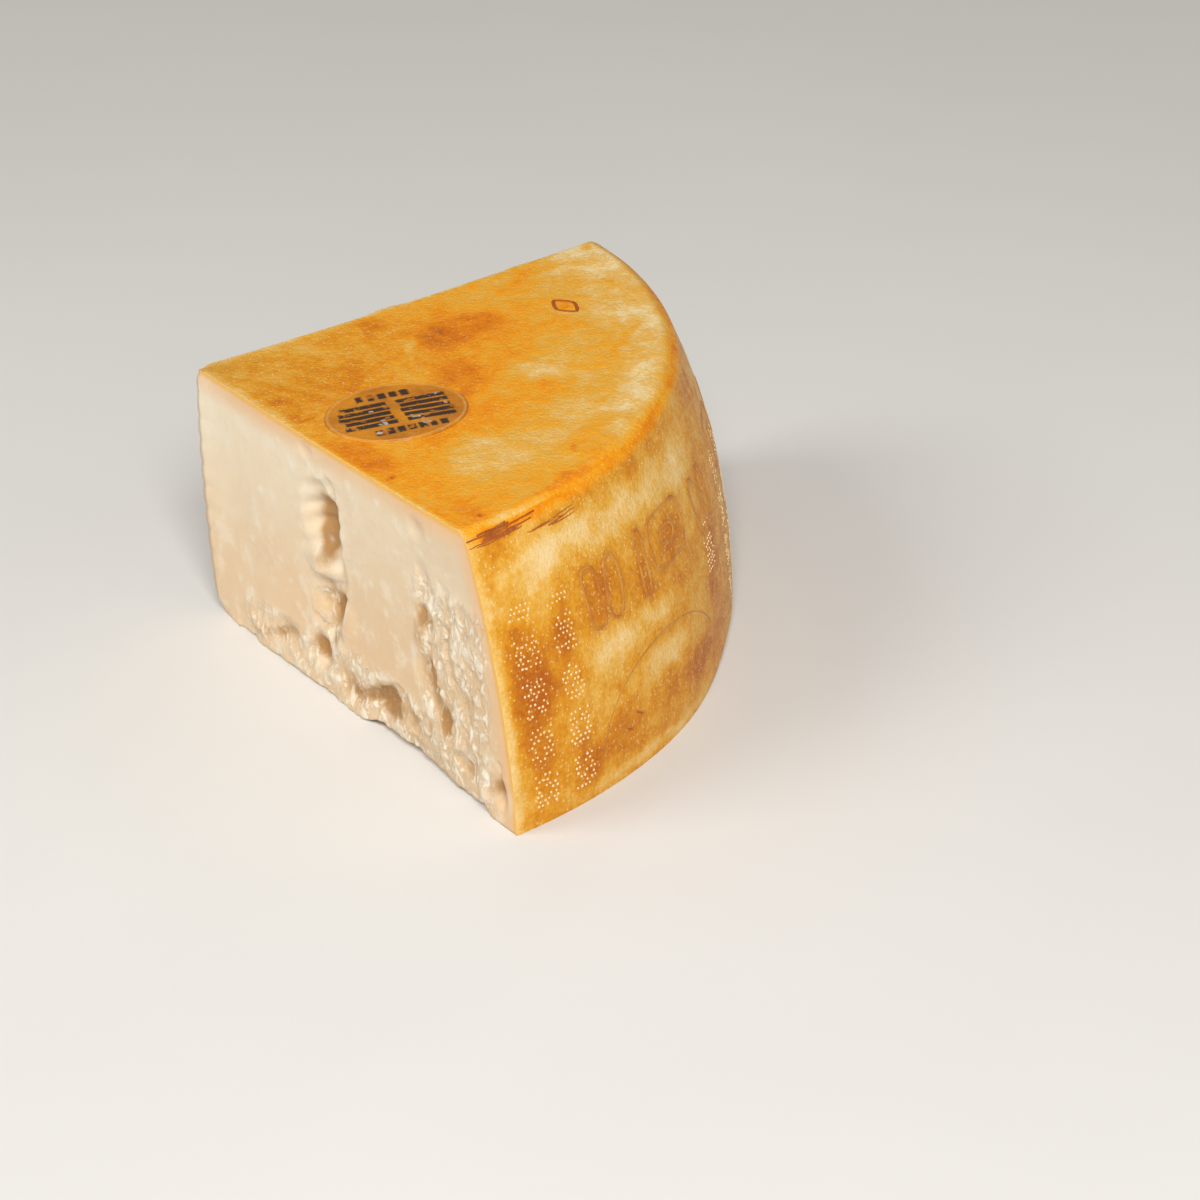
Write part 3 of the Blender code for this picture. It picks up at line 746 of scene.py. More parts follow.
def paint_wedge(mesh, places, out, angle, up, painted_shading, crystal):
    """Colour fields for the materials, on the shapes that the photograph shows."""
    arc = (angle + HALF_SECTOR) * ARC_RADIUS
    under_rind = np.minimum(top_height(out) - up, side_radius(up) - out)
    top = ramp(RIM_HEIGHT - 6.0, RIM_HEIGHT - 3.0, up + 0.5 * ramp(186, 196, out))
    upper = (top > 0.5) & (out < side_radius(RIM_HEIGHT) - 1.0)
    warp = sum(np.stack([field(places, size, first), field(places, size, second)], 1) * reach
               for size, reach, first, second in FIELD_WARPS)
    east, north = places[:, 0] + warp[:, 0], places[:, 1] + warp[:, 1]
    round_arc, height = arc + warp[:, 0] * 0.5, up + warp[:, 1] * 0.5
    from_axis, to_axis, from_angle, to_angle = RIM_CREAM
    cream = ramp(from_axis, to_axis, out + warp[:, 0]) * (1 - 0.75 * ramp(186, 192, out))
    cream *= ramp(from_angle, to_angle, angle + warp[:, 1] * 0.01)
    top_tone = (TOP_BARE + TOP_DEEPER * blobs(east, north, TOP_DEEP)
                + TOP_STRAWS * blobs(east, north, TOP_STRAW)
                + TOP_PALER * np.maximum(blobs(east, north, TOP_PALE), 0.95 * cream)
                + TOP_STAINED * blobs(east, north, TOP_STAIN))
    side_tone = (SIDE_BARE + SIDE_DEEPER * blobs(round_arc, height, SIDE_DEEP)
                 + SIDE_PALER * blobs(round_arc, height, SIDE_PALE)
                 + SIDE_STAINED * blobs(round_arc, height, SIDE_STAIN))
    # Along the cuts: a pale line on the top and a paler strip on the side, partly the cut rind's own
    # section and partly painted highlight.
    from_cut = np.minimum(-(places @ NEAR_FACE.outward), -(places @ FAR_FACE.outward))
    line = np.exp(-(from_cut / EDGE_LINE) ** 2)
    top_tone = top_tone * (1 - line) + TOP_EDGE_TONE * line
    line = np.exp(-(from_cut / SIDE_STRIP) ** 2)
    side_tone = side_tone * (1 - line) + SIDE_EDGE_TONE * line
    paint(mesh, "under_rind", np.clip(under_rind, 0, 60) / 60)
    paint(mesh, "warmth", 0.72 * (1 - ramp(25, 102, up + warp[:, 0])) + 0.3 * ramp(10, 120, out))
    near_side = places[:, 1] < 0
    along, above = out + warp[:, 0] * 0.4, up + warp[:, 1] * 0.4
    # Painted shade in pockets and beside ledges, added to the cut's painted shading.
    shade = np.where(near_side, blobs(along, above, NEAR_SHADES), blobs(along, above, FAR_SHADES))
    paint(mesh, "painted_shading", painted_shading + PAINTED_SHADE * shade)
    paint(mesh, "rearward", ramp(50, 190, out))
    paint(mesh, "crystal", crystal)
    rough = np.where(near_side, rough_share(out, up, NEAR_ROUGH), rough_share(out, up, FAR_ROUGH))
    paint(mesh, "rough", rough)
    paint(mesh, "top", top)
    paint(mesh, "tone", np.where(upper, top_tone, side_tone))
    paint(mesh, "pressed", np.where(upper, 0, pressed(arc, up)))
    layer = mesh.attributes.new("rind_place", "FLOAT_VECTOR", "POINT")
    rind_places = np.stack([arc, up, out], 1).astype(np.float32) * np.float32(MM)
    layer.data.foreach_set("vector", rind_places.ravel())


def thin_underside(body):
    """Dissolves the flat middle of the underside into a few faces."""
    clear_mesh_selection(body)
    heights = read_places(body.data)[:, 2]
    for polygon in body.data.polygons:
        polygon.select = bool(max(heights[list(polygon.vertices)]) < TINY * MM)
    bpy.ops.object.mode_set(mode="EDIT")
    bpy.ops.mesh.select_mode(type="FACE")
    bpy.ops.mesh.dissolve_limited(angle_limit=math.radians(0.5))
    bpy.ops.object.mode_set(mode="OBJECT")


def make_body(finishes):
    """The wedge with all its relief, in place of its solid."""
    body = spun_blank()
    for finish in finishes:
        body.data.materials.append(finish)
    split_finishes(body.data)
    paint_wedge(body.data, *shape_wedge(body.data))
    body.data.transform(Matrix.Translation(WHEEL_AXIS))
    bevel = body.modifiers.new("worn_edges", "BEVEL")
    bevel.limit_method = "WEIGHT"
    bevel.width = EDGE_BEVEL * MM
    bevel.segments = 2
    # The bevel's faces take the pale cut-edge finish, partly painted highlight.
    bevel.material = 2
    apply_all(body)
    thin_underside(body)
    body.data.shade_smooth()
    return body


def plate_ink(first, second, pattern):
    """Dark marks of the plate in its own turned axes, 1 where there is ink."""
    ink = np.zeros_like(first)
    for middle_first, middle_second, half_first, half_second in pattern:
        edge = np.maximum(np.abs(first - middle_first) - half_first,
                          np.abs(second - middle_second) - half_second)
        ink = np.maximum(ink, 1 - ramp(-0.25, 0.25, edge))
    return ink


def plate_pattern():
    """Two plain hatched squares, with a row of short bars over and under them."""
    bars = []
    for middle, height, count, pitch in ((-2.0, 15.8, 5, 4.6), (2.5, -15.8, 7, 4.3)):
        for index in range(count):
            place = middle + (index - (count - 1) / 2) * pitch
            bars.append((place, height, draw.uniform(1.3, 1.8), draw.uniform(2.2, 2.7)))
    for middle in (-12.2, 12.2):
        for index in range(5):
            bars.append((middle + draw.uniform(-0.6, 0.6), (index - 2) * 4.3, draw.uniform(9.4, 10.6), 1.6))
    return bars


def make_plate(finish):
    """The casein plate: a thin oval disc with a raised lip that follows the dished top."""
    bpy.ops.object.select_all(action="DESELECT")
    bpy.ops.mesh.primitive_circle_add(vertices=PLATE_SEGMENTS, radius=1.0, fill_type="NGON")
    plate = bpy.context.active_object
    plate.name = "casein_plate"
    bpy.ops.object.mode_set(mode="EDIT")
    bpy.ops.mesh.select_all(action="SELECT")
    for _ in range(PLATE_RINGS - 1):
        bpy.ops.mesh.inset(thickness=1.0 / PLATE_RINGS, use_even_offset=False)
    bpy.ops.mesh.select_all(action="SELECT")
    bpy.ops.mesh.extrude_region_move(TRANSFORM_OT_translate={"value": (0, 0, -1)})
    bpy.ops.mesh.select_all(action="SELECT")
    bpy.ops.mesh.normals_make_consistent(inside=False)
    bpy.ops.object.mode_set(mode="OBJECT")

    flat = read_places(plate.data)
    radius = np.hypot(flat[:, 0], flat[:, 1])
    first, second = flat[:, 0] * PLATE_LENGTH / 2, flat[:, 1] * PLATE_WIDTH / 2
    along = PLATE_CENTRE[0] + first * math.cos(PLATE_TURN) - second * math.sin(PLATE_TURN)
    across = PLATE_CENTRE[1] + first * math.sin(PLATE_TURN) + second * math.cos(PLATE_TURN)
    up = top_height(np.hypot(along, across))
    up += rind_wave(np.stack([along, across, up], 1))
    lip = PLATE_LIP * np.exp(-((radius - PLATE_LIP_PLACE) / 0.018) ** 2)
    edge_fall = PLATE_PROUD * 0.8 * ramp(0.975, 1.0, radius)
    ripple = PLATE_RIPPLE * field(np.stack([along, across, up], 1), 6.0, 2.6)
    up += np.where(flat[:, 2] > -0.5, PLATE_PROUD + lip - edge_fall + ripple, -PLATE_SUNK)
    write_places(plate.data, np.stack([along, across, up], 1) * MM + np.array(WHEEL_AXIS))
    paint(plate.data, "ink", plate_ink(first, second, plate_pattern()))
    # Painted highlight along the plate's raised lip.
    paint(plate.data, "lip", np.exp(-((radius - PLATE_LIP_PLACE) / 0.02) ** 2))
    plate.data.materials.append(finish)
    plate.data.shade_smooth()
    return plate


def outline_points(middle_first, middle_second, half_first, half_second, squareness, lean, count):
    """A closed outline between an oval (2) and a box with round corners (5)."""
    points = []
    for index in range(count):
        turn = 2 * math.pi * index / count
        cosine, sine = math.cos(turn), math.sin(turn)
        first = half_first * math.copysign(abs(cosine) ** (2 / squareness), cosine)
        second = half_second * math.copysign(abs(sine) ** (2 / squareness), sine)
        first += second * math.tan(math.radians(lean))
        points.append((middle_first + first, middle_second + second))
    return points


def ridge(name, points, closed, radius):
    """A thin raised line through points, as a tube half sunk in the rind, made a mesh."""
    curve = bpy.data.curves.new(name, "CURVE")
    curve.dimensions = "3D"
    curve.bevel_depth = radius * MM
    curve.bevel_resolution = 2
    curve.use_fill_caps = True
    spline = curve.splines.new("POLY")
    spline.points.add(len(points) - 1)
    for target, point in zip(spline.points, points):
        target.co = (*point, 1.0)
    spline.use_cyclic_u = closed
    line = bpy.data.objects.new(name, curve)
    bpy.context.scene.collection.objects.link(line)
    select_only(line)
    bpy.ops.object.convert(target="MESH")
    return bpy.context.active_object


def join_as(name, things, finish):
    """Joins meshes into one smooth piece with one finish."""
    select_only(*things)
    bpy.ops.object.join()
    piece = bpy.context.active_object
    piece.name = name
    piece.data.materials.clear()
    piece.data.materials.append(finish)
    piece.data.shade_smooth()
    return piece


def make_side_marks(finish):
    """Plain outlines and seal rings, raised a little from the rind's side."""
    lines = []
    sunk = MARK_SHOWS - MARK_RADIUS
    for arc, up, half_arc, half_up, squareness, lean in SIDE_MARKS:
        outline = outline_points(arc, up, half_arc, half_up, squareness, lean, MARK_POINTS)
        points = [side_point(place, height, sunk + draw.uniform(-0.12, 0.12)) for place, height in outline]
        lines.append(ridge("mark", points, True, MARK_RADIUS))
    for arc, up, half_arc, half_up in SEALS:
        outline = outline_points(arc, up, half_arc, half_up, 2, 0, SEAL_POINTS)[:SEAL_POINTS // 2 + 1]
        points = [side_point(place, height, sunk - 0.16) for place, height in outline if height > 3.0]
        lines.append(ridge("seal", points, False, MARK_RADIUS * 0.9))
    return join_as("side_marks", lines, finish)


def make_top_mark(finish):
    """One small plain loop pressed into the top."""
    along, across, half_long, half_wide, turn = TOP_MARK
    turn = math.radians(turn)
    points = []
    for first, second in outline_points(0, 0, half_long, half_wide, 1.3, 0, 48):
        place = (along + first * math.cos(turn) - second * math.sin(turn),
                 across + first * math.sin(turn) + second * math.cos(turn))
        points.append(top_point(*place, MARK_SHOWS - TOP_MARK_RADIUS - 0.05))
    return join_as("top_mark", [ridge("top_mark", points, True, TOP_MARK_RADIUS)], finish)


def make_scratches(finish):
    """Bundles of fine brown strokes scored into the rind's side."""
    strokes = []
    for start, end, count in SCRATCHES:
        start, end = Vector(start), Vector(end)
        for index in range(count):
            low, high = sorted((draw.uniform(-0.05, 0.75), draw.uniform(0.25, 1.05)))
            offset = (index - (count - 1) / 2) * STROKE_GAP
            points = []
            for share in np.linspace(low, max(high, low + SHORTEST_STROKE), STROKE_POINTS):
                place = start.lerp(end, share)
                drift = STROKE_DRIFT * noise.noise(Vector((share * 9, index * 3.7, start.x)))
                sunk = -0.3 - 0.35 * abs(2 * (share - low) / max(high - low, SHORTEST_STROKE) - 1) ** 3
                points.append(side_point(place.x, place.y + offset + drift, sunk * STROKE_RADIUS))
            strokes.append(ridge("stroke", points, False, STROKE_RADIUS))
    return join_as("scratches", strokes, finish)


def dot_places():
    """Arc and height of every dot: plain even rows up each column, with many worn away."""
    places = []
    for arc, lowest, highest in DOT_COLUMNS:
        for row in range(int((highest - lowest) / DOT_PITCH) + 1):
            for index in range(DOTS_ACROSS):
                if row % DOT_BLOCK < DOT_BLOCK - 2 and draw.random() < DOT_SHARE:
                    place = arc + (index - (DOTS_ACROSS - 1) / 2 + (row % 2) / 2) * DOT_PITCH
                    places.append((place + draw.uniform(-DOT_STRAY, DOT_STRAY),
                                   lowest + row * DOT_PITCH + draw.uniform(-DOT_STRAY, DOT_STRAY)))
    return places


def make_dots(finish):
    """All the pin-point dots as one mesh, each a small low dome."""
    bpy.ops.object.select_all(action="DESELECT")
    bpy.ops.mesh.primitive_uv_sphere_add(segments=8, ring_count=6, radius=1.0)
    dome = bpy.context.active_object
    dome.scale = (1.0, 1.0, DOT_FLATTEN)
    bpy.ops.object.transform_apply(location=False, rotation=False, scale=True)
    dots = []
    for arc, up in dot_places():
        dot = dome.copy()
        dot.data = dome.data.copy()
        bpy.context.scene.collection.objects.link(dot)
        size = DOT_RADIUS * draw.uniform(0.8, 1.15)
        here = side_point(arc, up, DOT_SHOWS - DOT_FLATTEN * size)
        outward = (side_point(arc, up, 1.0) - side_point(arc, up, 0.0)).normalized()
        turn = outward.to_track_quat("Z", "Y").to_matrix().to_4x4()
        dot.data.transform(Matrix.Translation(here) @ turn @ Matrix.Scale(size * MM, 4))
        dots.append(dot)
    bpy.data.objects.remove(dome)
    return join_as("pin_dots", dots, finish)


class Nodes:
    """One node tree, with short ways to add to it; values are sockets or plain numbers and colours."""

    def __init__(self, tree):
        self.tree = tree

    def feed(self, socket, value):
        """Links a socket to another one, or sets it to a plain value."""
        if isinstance(value, bpy.types.NodeSocket):
            self.tree.links.new(value, socket)
        elif socket.type == "RGBA":
            socket.default_value = (*value, 1.0)
        else:
            socket.default_value = value

    def add(self, kind, inputs, **settings):
        """Adds a node, sets its properties and feeds its inputs."""
        item = self.tree.nodes.new(kind)
        for name, value in settings.items():
            setattr(item, name, value)
        for name, value in inputs.items():
            self.feed(item.inputs[name], value)
        return item

    def reckon(self, operation, first, second):
        """What one kind of sum makes of two values."""
        return self.add("ShaderNodeMath", {0: first, 1: second}, operation=operation).outputs["Value"]

    def times(self, first, second):
        """The product of two values."""
        return self.reckon("MULTIPLY", first, second)

    def plus(self, first, second):
        """The sum of two values."""
        return self.reckon("ADD", first, second)

    def minus(self, first, second):
        """The difference of two values."""
        return self.reckon("SUBTRACT", first, second)

    def spread(self, value, low, high, new_low=0.0, new_high=1.0):
        """Maps a value from one range onto another, softly."""
        item = self.add("ShaderNodeMapRange", {"Value": value, "From Min": low, "From Max": high,
                                               "To Min": new_low, "To Max": new_high},
                        interpolation_type="SMOOTHSTEP")
        return item.outputs["Result"]

    def blend(self, share, first, second):
        """Mixes two colours."""
        item = self.add("ShaderNodeMix", {}, data_type="RGBA")
        for index, value in ((0, share), (6, first), (7, second)):
            self.feed(item.inputs[index], value)
        return item.outputs[2]

    def tones(self, value, stops):
        """A run of colours, as (place from 0 to 1, colour)."""
        item = self.add("ShaderNodeValToRGB", {"Fac": value})
        elements = item.color_ramp.elements
        while len(elements) < len(stops):
            elements.new(0.5)
        for element, (place, colour) in zip(elements, stops):
            element.position = place
            element.color = (*colour, 1.0)
        return item.outputs["Color"]

    def painted(self, name, output="Fac"):
        """Reads a painted field of the mesh."""
        return self.add("ShaderNodeAttribute", {}, attribute_name=name).outputs[output]

    def stretched(self, place, *factors):
        """Stretches coordinates, so that a pattern runs along one of them."""
        return self.add("ShaderNodeMapping", {"Vector": place, "Scale": factors}).outputs["Vector"]


class Finish(Nodes):
    """A material in the making, with plain values set on its shader's own sockets."""

    def __init__(self, name, **constants):
        self.material = bpy.data.materials.new(name)
        self.material.use_nodes = True
        super().__init__(self.material.node_tree)
        self.sockets = self.tree.nodes["Principled BSDF"].inputs
        for label, value in constants.items():
            self.sockets[label.replace("_", " ")].default_value = value
        self.place = self.add("ShaderNodeTexCoord", {}).outputs["Object"]

    def mask(self, group, **values):
        """Places a node group on the piece's own coordinates; values are its inputs by name."""
        item = self.add("ShaderNodeGroup", {}, node_tree=group)
        for name, value in {"Vector": self.place, **values}.items():
            self.feed(item.inputs[name], value)
        return item.outputs["Mask"]

    def blotches(self, scale, low, high, **values):
        """Soft blotches of noise cut between two levels."""
        return self.mask(BLOTCHES, Scale=scale, Low=low, High=high, **values)

    def finish(self, colour, gloss, height=None, distance=0.0, strength=1.0):
        """Feeds the shader its colour, roughness and bump, and gives back the material."""
        self.feed(self.sockets["Base Color"], colour)
        if gloss is not None:
            self.feed(self.sockets["Roughness"], gloss)
        if height is not None:
            raised = self.add("ShaderNodeBump", {"Height": height, "Distance": distance,
                                                 "Strength": strength})
            self.feed(self.sockets["Normal"], raised.outputs["Normal"])
        return self.material


def new_group(name, **inputs):
    """A shader node group: its nodes, its given inputs and the mask that it puts out."""
    tree = bpy.data.node_groups.new(name, "ShaderNodeTree")
    tree.interface.new_socket("Vector", in_out="INPUT", socket_type="NodeSocketVector")
    for label, value in inputs.items():
        socket = tree.interface.new_socket(label, in_out="INPUT", socket_type="NodeSocketFloat")
        socket.default_value = value
    tree.interface.new_socket("Mask", in_out="OUTPUT", socket_type="NodeSocketFloat")
    given, result = tree.nodes.new("NodeGroupInput"), tree.nodes.new("NodeGroupOutput")
    return Nodes(tree), given.outputs, result.inputs["Mask"]


def blotch_group():
    """Soft blotches: noise cut between two levels."""
    nodes, given, mask = new_group("blotches", Scale=50.0, Low=0.4, High=0.6, Roughness=0.55)
    cloud = nodes.add("ShaderNodeTexNoise", {"Vector": given["Vector"], "Scale": given["Scale"],
                                             "Detail": 6.0, "Roughness": given["Roughness"]})
    nodes.feed(mask, nodes.spread(cloud.outputs["Fac"], given["Low"], given["High"]))
    return nodes.tree


def speck_group():
    """Scattered round specks: the middles of some of the cells."""
    nodes, given, mask = new_group("specks", Scale=300.0, Size=0.3, Share=0.4)
    cell = nodes.add("ShaderNodeTexVoronoi", {"Vector": given["Vector"], "Scale": given["Scale"]})
    middle = nodes.spread(cell.outputs["Distance"], given["Size"], 0.05)
    channels = nodes.add("ShaderNodeSeparateColor", {"Color": cell.outputs["Color"]})
    some = nodes.reckon("LESS_THAN", channels.outputs["Red"], given["Share"])
    nodes.feed(mask, nodes.times(middle, some))
    return nodes.tree


def crumble_group():
    """Crumbs and flakes: ridged noise, 0 in the crevices and 1 on the crests."""
    nodes, given, mask = new_group("crumble", Scale=150.0)
    cloud = nodes.add("ShaderNodeTexNoise", {"Vector": given["Vector"], "Scale": given["Scale"],
                                             "Detail": 5.0, "Roughness": 0.6, "Distortion": 0.6})
    folded = nodes.reckon("ABSOLUTE", nodes.minus(cloud.outputs["Fac"], 0.5), 0.0)
    cut = nodes.add("ShaderNodeMapRange", {"Value": folded, "From Min": 0.0, "From Max": 0.16})
    nodes.feed(mask, cut.outputs["Result"])
    return nodes.tree


BLOTCHES = blotch_group()
SPECKS = speck_group()
CRUMBLE = crumble_group()


def paste_finish():
    """The cut paste: cream, warmer below, tan under the rind, with crystals; painted shade in the hollows
    and crevices and painted highlight on crests and ridges.
    """
    paste = Finish("cheese_paste", Subsurface_Weight=0.12, Subsurface_Scale=0.003,
                   Subsurface_Radius=(1.0, 0.6, 0.3), IOR=1.45, Specular_IOR_Level=0.45)
    cloud = paste.blotches(24.0, 0.35, 0.68)
    chalk = paste.blotches(85.0, 0.50, 0.66, Roughness=0.65)
    fine = paste.blotches(170.0, 0.35, 0.7)
    streak = paste.blotches(150.0, 0.45, 0.75, Vector=paste.stretched(paste.place, 0.2, 0.2, 1.0))
    crumbs = paste.mask(CRUMBLE, Vector=paste.stretched(paste.place, 1.0, 1.0, 0.6), Scale=210.0)
    rough, depth = paste.painted("rough"), paste.painted("under_rind")
    warmth = paste.plus(paste.painted("warmth"), paste.times(cloud, 0.22))
    band = paste.times(paste.spread(depth, 0.22, 0.03), paste.plus(paste.times(cloud, 0.3), 0.6))
    # Painted highlight: lighter paste on the crumbs' crests where the cut is crumbly.
    crest = paste.times(paste.spread(crumbs, 0.45, 1.0), paste.times(rough, 0.9))
    # Painted shade: the painted pockets, darkened further in the crumbs' crevices.
    painted_shading = paste.plus(paste.painted("painted_shading"),
                        paste.times(paste.minus(0.3, crumbs), paste.times(rough, 0.35)))
    colour = paste.blend(warmth, (0.82, 0.735, 0.565), (0.775, 0.56, 0.34))
    for share, layer in (
            (paste.times(fine, 0.18), (0.76, 0.51, 0.28)),
            (paste.times(paste.painted("rearward"), 0.30), (0.56, 0.40, 0.23)),
            (paste.times(chalk, 0.45), (0.86, 0.79, 0.64)),
            (paste.times(streak, 0.16), (0.84, 0.75, 0.58)),
            (band, (0.80, 0.49, 0.25)),
            (paste.times(paste.spread(depth, 0.055, 0.012), 0.9), (0.80, 0.44, 0.07)),
            (crest, (0.90, 0.84, 0.70)),
            # Painted highlight on ridges and lumps, then painted shade in pockets and crevices.
            (paste.spread(painted_shading, -0.02, -0.25, 0.0, 0.75), (0.88, 0.81, 0.66)),
            (paste.spread(painted_shading, 0.04, 0.85, 0.0, 0.95), (0.43, 0.22, 0.065)),
            (paste.times(paste.painted("crystal"), 0.4), (0.88, 0.84, 0.74))):
        colour = paste.blend(share, colour, layer)
    gloss = paste.plus(paste.times(fine, 0.16), 0.38)
    grain = paste.plus(paste.times(fine, 0.3), paste.times(streak, 0.2))
    height = paste.plus(paste.times(grain, 0.4), paste.times(paste.times(crumbs, rough), 0.8))
    return paste.finish(colour, gloss, height, 0.0008, 0.7)


def rind_finish():
    """The rind: oiled orange-gold top with a cream rim, golden side with orange and brown stains, and pale
    specks that on the top are painted glints.
    """
    rind = Finish("cheese_rind", Subsurface_Weight=0.05, Subsurface_Scale=0.003,
                  Subsurface_Radius=(1.0, 0.5, 0.15), IOR=1.45, Specular_IOR_Level=0.25,
                  Coat_Weight=0.05, Coat_Roughness=0.15)
    on_top = rind.painted("top")
    on_side = rind.minus(1.0, on_top)
    round_side = rind.painted("rind_place", "Vector")
    wide = rind.blotches(30.0, 0.25, 0.75, Roughness=0.68)
    mid = rind.blotches(140.0, 0.3, 0.7, Roughness=0.65)
    fine = rind.blotches(620.0, 0.36, 0.64)
    specks = rind.mask(SPECKS, Scale=620.0, Size=0.42, Share=0.5)
    smear = rind.blotches(70.0, 0.3, 0.7, Roughness=0.65, Vector=rind.stretched(round_side, 1.0, 0.3, 1.0))
    strokes = rind.blotches(420.0, 0.35, 0.7, Vector=rind.stretched(round_side, 1.0, 0.2, 1.0))
    tone = rind.plus(rind.painted("tone"), -0.36)
    for cloud, share in ((wide, 0.40), (mid, 0.24), (rind.times(smear, on_side), 0.2), (fine, 0.13)):
        tone = rind.plus(tone, rind.times(cloud, share))
    tone = rind.times(tone, 0.7)
    top_colour = rind.tones(tone, (
        (0.0, (0.86, 0.66, 0.33)), (0.14, (0.81, 0.49, 0.13)), (0.28, (0.80, 0.405, 0.04)),
        (0.42, (0.86, 0.355, 0.010)), (0.56, (0.83, 0.275, 0.003)), (0.70, (0.74, 0.205, 0.001)),
        (0.92, (0.40, 0.08, 0.003))))
    side_colour = rind.tones(tone, (
        (0.0, (0.86, 0.63, 0.31)), (0.16, (0.83, 0.55, 0.20)), (0.34, (0.77, 0.42, 0.065)),
        (0.52, (0.70, 0.295, 0.010)), (0.70, (0.58, 0.19, 0.003)), (0.92, (0.44, 0.10, 0.002))))
    side_colour = rind.blend(rind.times(rind.painted("pressed"), 0.48), side_colour, (0.44, 0.12, 0.008))
    colour = rind.blend(on_top, side_colour, top_colour)
    # Pale specks: on the side the rind's own scattered specks, on the top painted glints on the peel's
    # small domes.
    light = rind.minus(0.75, rind.times(on_top, 0.40))
    colour = rind.blend(rind.times(specks, light), colour, (0.88, 0.62, 0.25))
    gloss = rind.plus(rind.times(fine, 0.15), rind.plus(rind.times(mid, 0.12), 0.26))
    height = rind.plus(rind.times(fine, 0.5), rind.times(rind.times(strokes, on_side), 0.5))
    height = rind.plus(rind.plus(height, rind.times(specks, 0.7)), mid)
    return rind.finish(colour, gloss, height, 0.00027, 0.8)


def rim_edge_finish():
    """The thin edge where the knife went through the rind: pale, waxy yellow, partly the cut rind's own
    colour and partly painted highlight on the rounded edge.
    """
    edge = Finish("cut_edge", Subsurface_Weight=0.15, Subsurface_Scale=0.003, IOR=1.46)
    patch = edge.blotches(120.0, 0.4, 0.65)
    colour = edge.blend(patch, (0.95, 0.84, 0.56), (0.90, 0.68, 0.32))
    return edge.finish(colour, edge.plus(edge.times(patch, 0.15), 0.32))


def casein_finish():
    """The casein plate: golden and translucent-looking, with worn dark print, pale scuffs and a painted
    highlight along its lip.
    """
    casein = Finish("casein_plate", Subsurface_Weight=0.05, Subsurface_Scale=0.002, IOR=1.5,
                    Specular_IOR_Level=0.3, Coat_Weight=0.06, Coat_Roughness=0.2)
    fine = casein.blotches(420.0, 0.4, 0.62)
    wear = casein.blotches(230.0, 0.56, 0.62)
    scuff = casein.blotches(150.0, 0.62, 0.68)
    ink = casein.painted("ink")
    held = casein.times(ink, casein.minus(1.0, casein.times(wear, 0.65)))
    colour = casein.blend(casein.blotches(60.0, 0.38, 0.64), (0.64, 0.235, 0.008), (0.47, 0.15, 0.004))
    for share, layer in (
            (casein.times(fine, 0.12), (0.74, 0.36, 0.05)),
            # Painted highlight along the lip.
            (casein.times(casein.painted("lip"), 0.4), (0.84, 0.50, 0.14)),
            (casein.times(held, 0.95), (0.022, 0.014, 0.012)),
            (casein.times(scuff, casein.plus(casein.times(ink, 0.5), 0.08)), (0.80, 0.72, 0.62))):
        colour = casein.blend(share, colour, layer)
    gloss = casein.plus(casein.times(fine, 0.2), 0.26)
    height = casein.plus(casein.times(held, 0.6), casein.times(fine, 0.6))
    return casein.finish(colour, gloss, height, 0.00025, 0.6)


def raised_finish(name, light, dark, roughness):
    """Dots and lines raised from the rind: lighter on some, stained on others."""
    raised = Finish(name, IOR=1.46, Specular_IOR_Level=0.4, Coat_Weight=0.08, Coat_Roughness=0.3)
    fine = raised.blotches(500.0, 0.38, 0.64)
    colour = raised.blend(raised.blotches(90.0, 0.38, 0.64), light, dark)
    colour = raised.blend(raised.times(fine, 0.25), colour, light)
    gloss = raised.plus(raised.times(fine, 0.15), roughness)
    return raised.finish(colour, gloss, fine, 0.0002, 0.5)


def floor_finish():
    """A plain pale floor."""
    floor = Finish("floor", Roughness=0.7)
    colour = floor.blend(floor.blotches(3.0, 0.3, 0.7), (0.74, 0.73, 0.71), (0.76, 0.75, 0.73))
    return floor.finish(colour, None)


def make_floor():
    """The floor that the wedge stands on."""
    bpy.ops.object.select_all(action="DESELECT")
    bpy.ops.mesh.primitive_plane_add(size=FLOOR_SIZE, location=(0, 0, 0))
    floor = bpy.context.active_object
    floor.name = "floor"
    floor.data.materials.append(floor_finish())


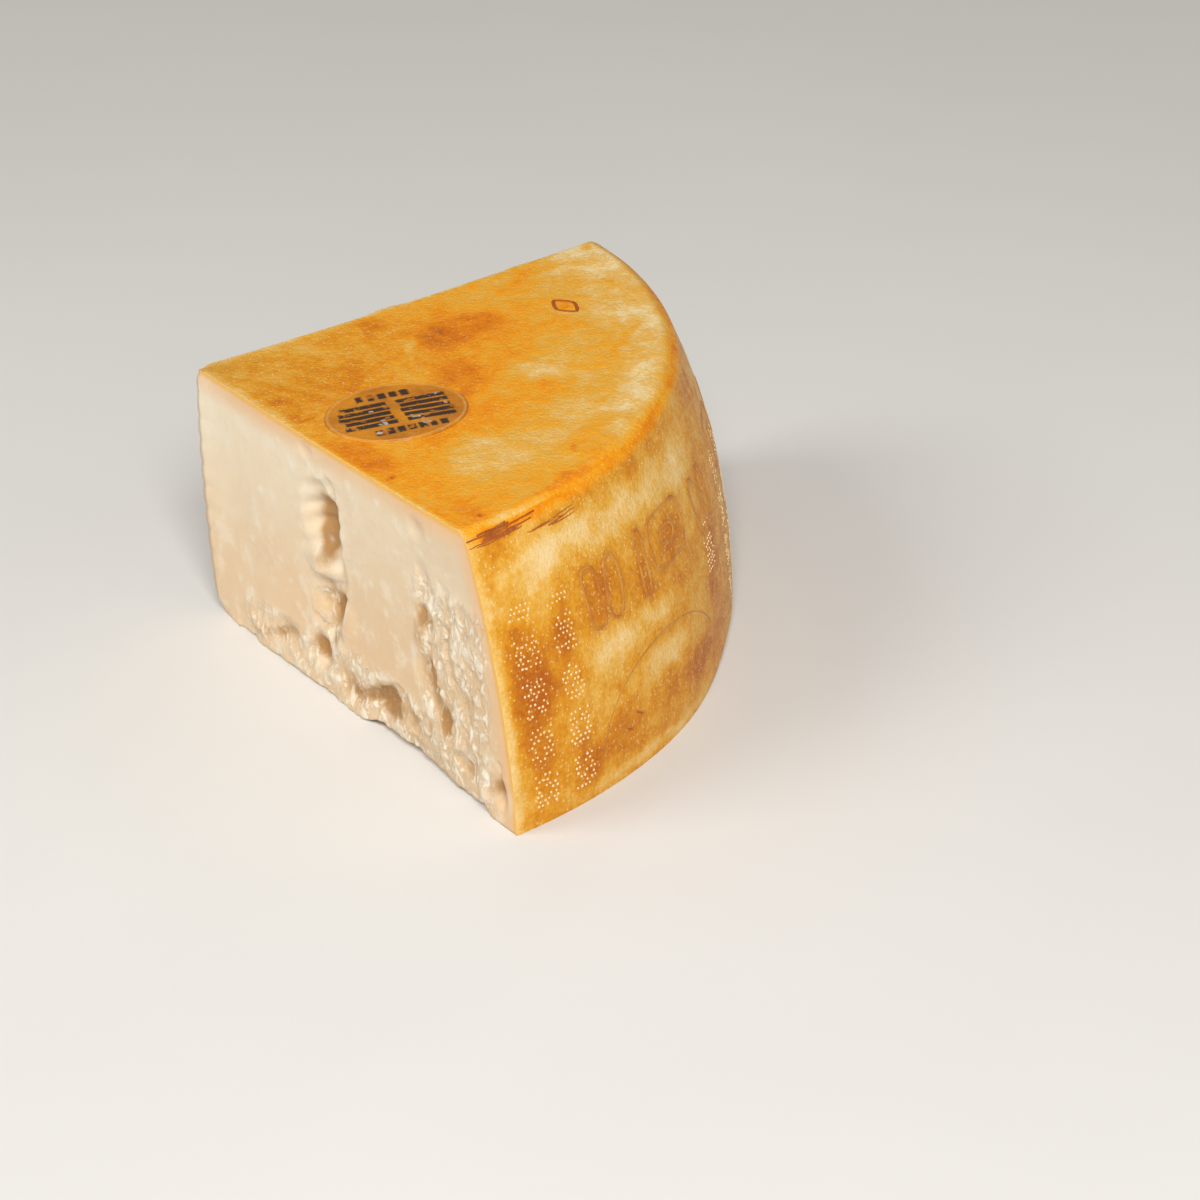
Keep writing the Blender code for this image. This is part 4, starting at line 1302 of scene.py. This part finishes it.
def add_camera():
    """The photograph's viewpoint."""
    target = CAMERA_TARGET + WHEEL_AXIS
    level = CAMERA_DISTANCE * math.cos(CAMERA_RISE)
    offset = Vector((level * math.sin(CAMERA_SWING), -level * math.cos(CAMERA_SWING),
                     CAMERA_DISTANCE * math.sin(CAMERA_RISE)))
    lens = bpy.data.cameras.new("camera")
    lens.lens = CAMERA_LENS
    lens.sensor_width = CAMERA_SENSOR
    lens.clip_end = CAMERA_REACH
    camera = bpy.data.objects.new("camera", lens)
    bpy.context.scene.collection.objects.link(camera)
    camera.location = target + offset
    camera.rotation_mode = "QUATERNION"
    aim = (-offset).to_track_quat("-Z", "Y")
    camera.rotation_quaternion = aim @ Quaternion((0, 0, 1), CAMERA_ROLL)
    bpy.context.scene.camera = camera


def add_light(name, place, power, size, colour):
    """A square soft box that faces the wedge."""
    lamp = bpy.data.lights.new(name, "AREA")
    lamp.energy = power
    lamp.size = size
    lamp.color = colour
    box = bpy.data.objects.new(name, lamp)
    bpy.context.scene.collection.objects.link(box)
    box.location = place
    box.rotation_euler = (LIGHTS_AIM - Vector(place)).to_track_quat("-Z", "Y").to_euler()


def add_lights():
    """Soft daylight from the front, a weaker light on the cut from the left and a sheen from behind."""
    for light in LIGHTS:
        add_light(*light)
    world = bpy.data.worlds.new("studio")
    world.use_nodes = True
    sockets = world.node_tree.nodes["Background"].inputs
    sockets["Color"].default_value = ROOM_COLOUR
    sockets["Strength"].default_value = ROOM_LIGHT
    bpy.context.scene.world = world


def main():
    """Makes every piece, says what each stands for, and sets the stage."""
    add_camera()
    body = make_body((paste_finish(), rind_finish(), rim_edge_finish()))
    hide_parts("cheese_wedge")
    plate = make_plate(casein_finish())
    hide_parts("casein_label")
    marks = make_side_marks(raised_finish("stamped_line", (0.60, 0.27, 0.045), (0.46, 0.14, 0.012), 0.34))
    loop = make_top_mark(raised_finish("pressed_loop", (0.44, 0.11, 0.005), (0.36, 0.07, 0.004), 0.36))
    scratches = make_scratches(raised_finish("scored_rind", (0.52, 0.17, 0.02), (0.36, 0.08, 0.01), 0.32))
    # Pin dots paler than the rind: partly their own pale colour and partly painted highlight on the small
    # domes.
    dots = make_dots(raised_finish("pin_dot", (0.95, 0.76, 0.46), (0.88, 0.60, 0.26), 0.28))
    for piece in (body, marks, loop, scratches, dots):
        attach(piece, "root")
    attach(plate, "root")
    make_floor()
    add_lights()
    bpy.context.scene.view_settings.view_transform = "Standard"


main()
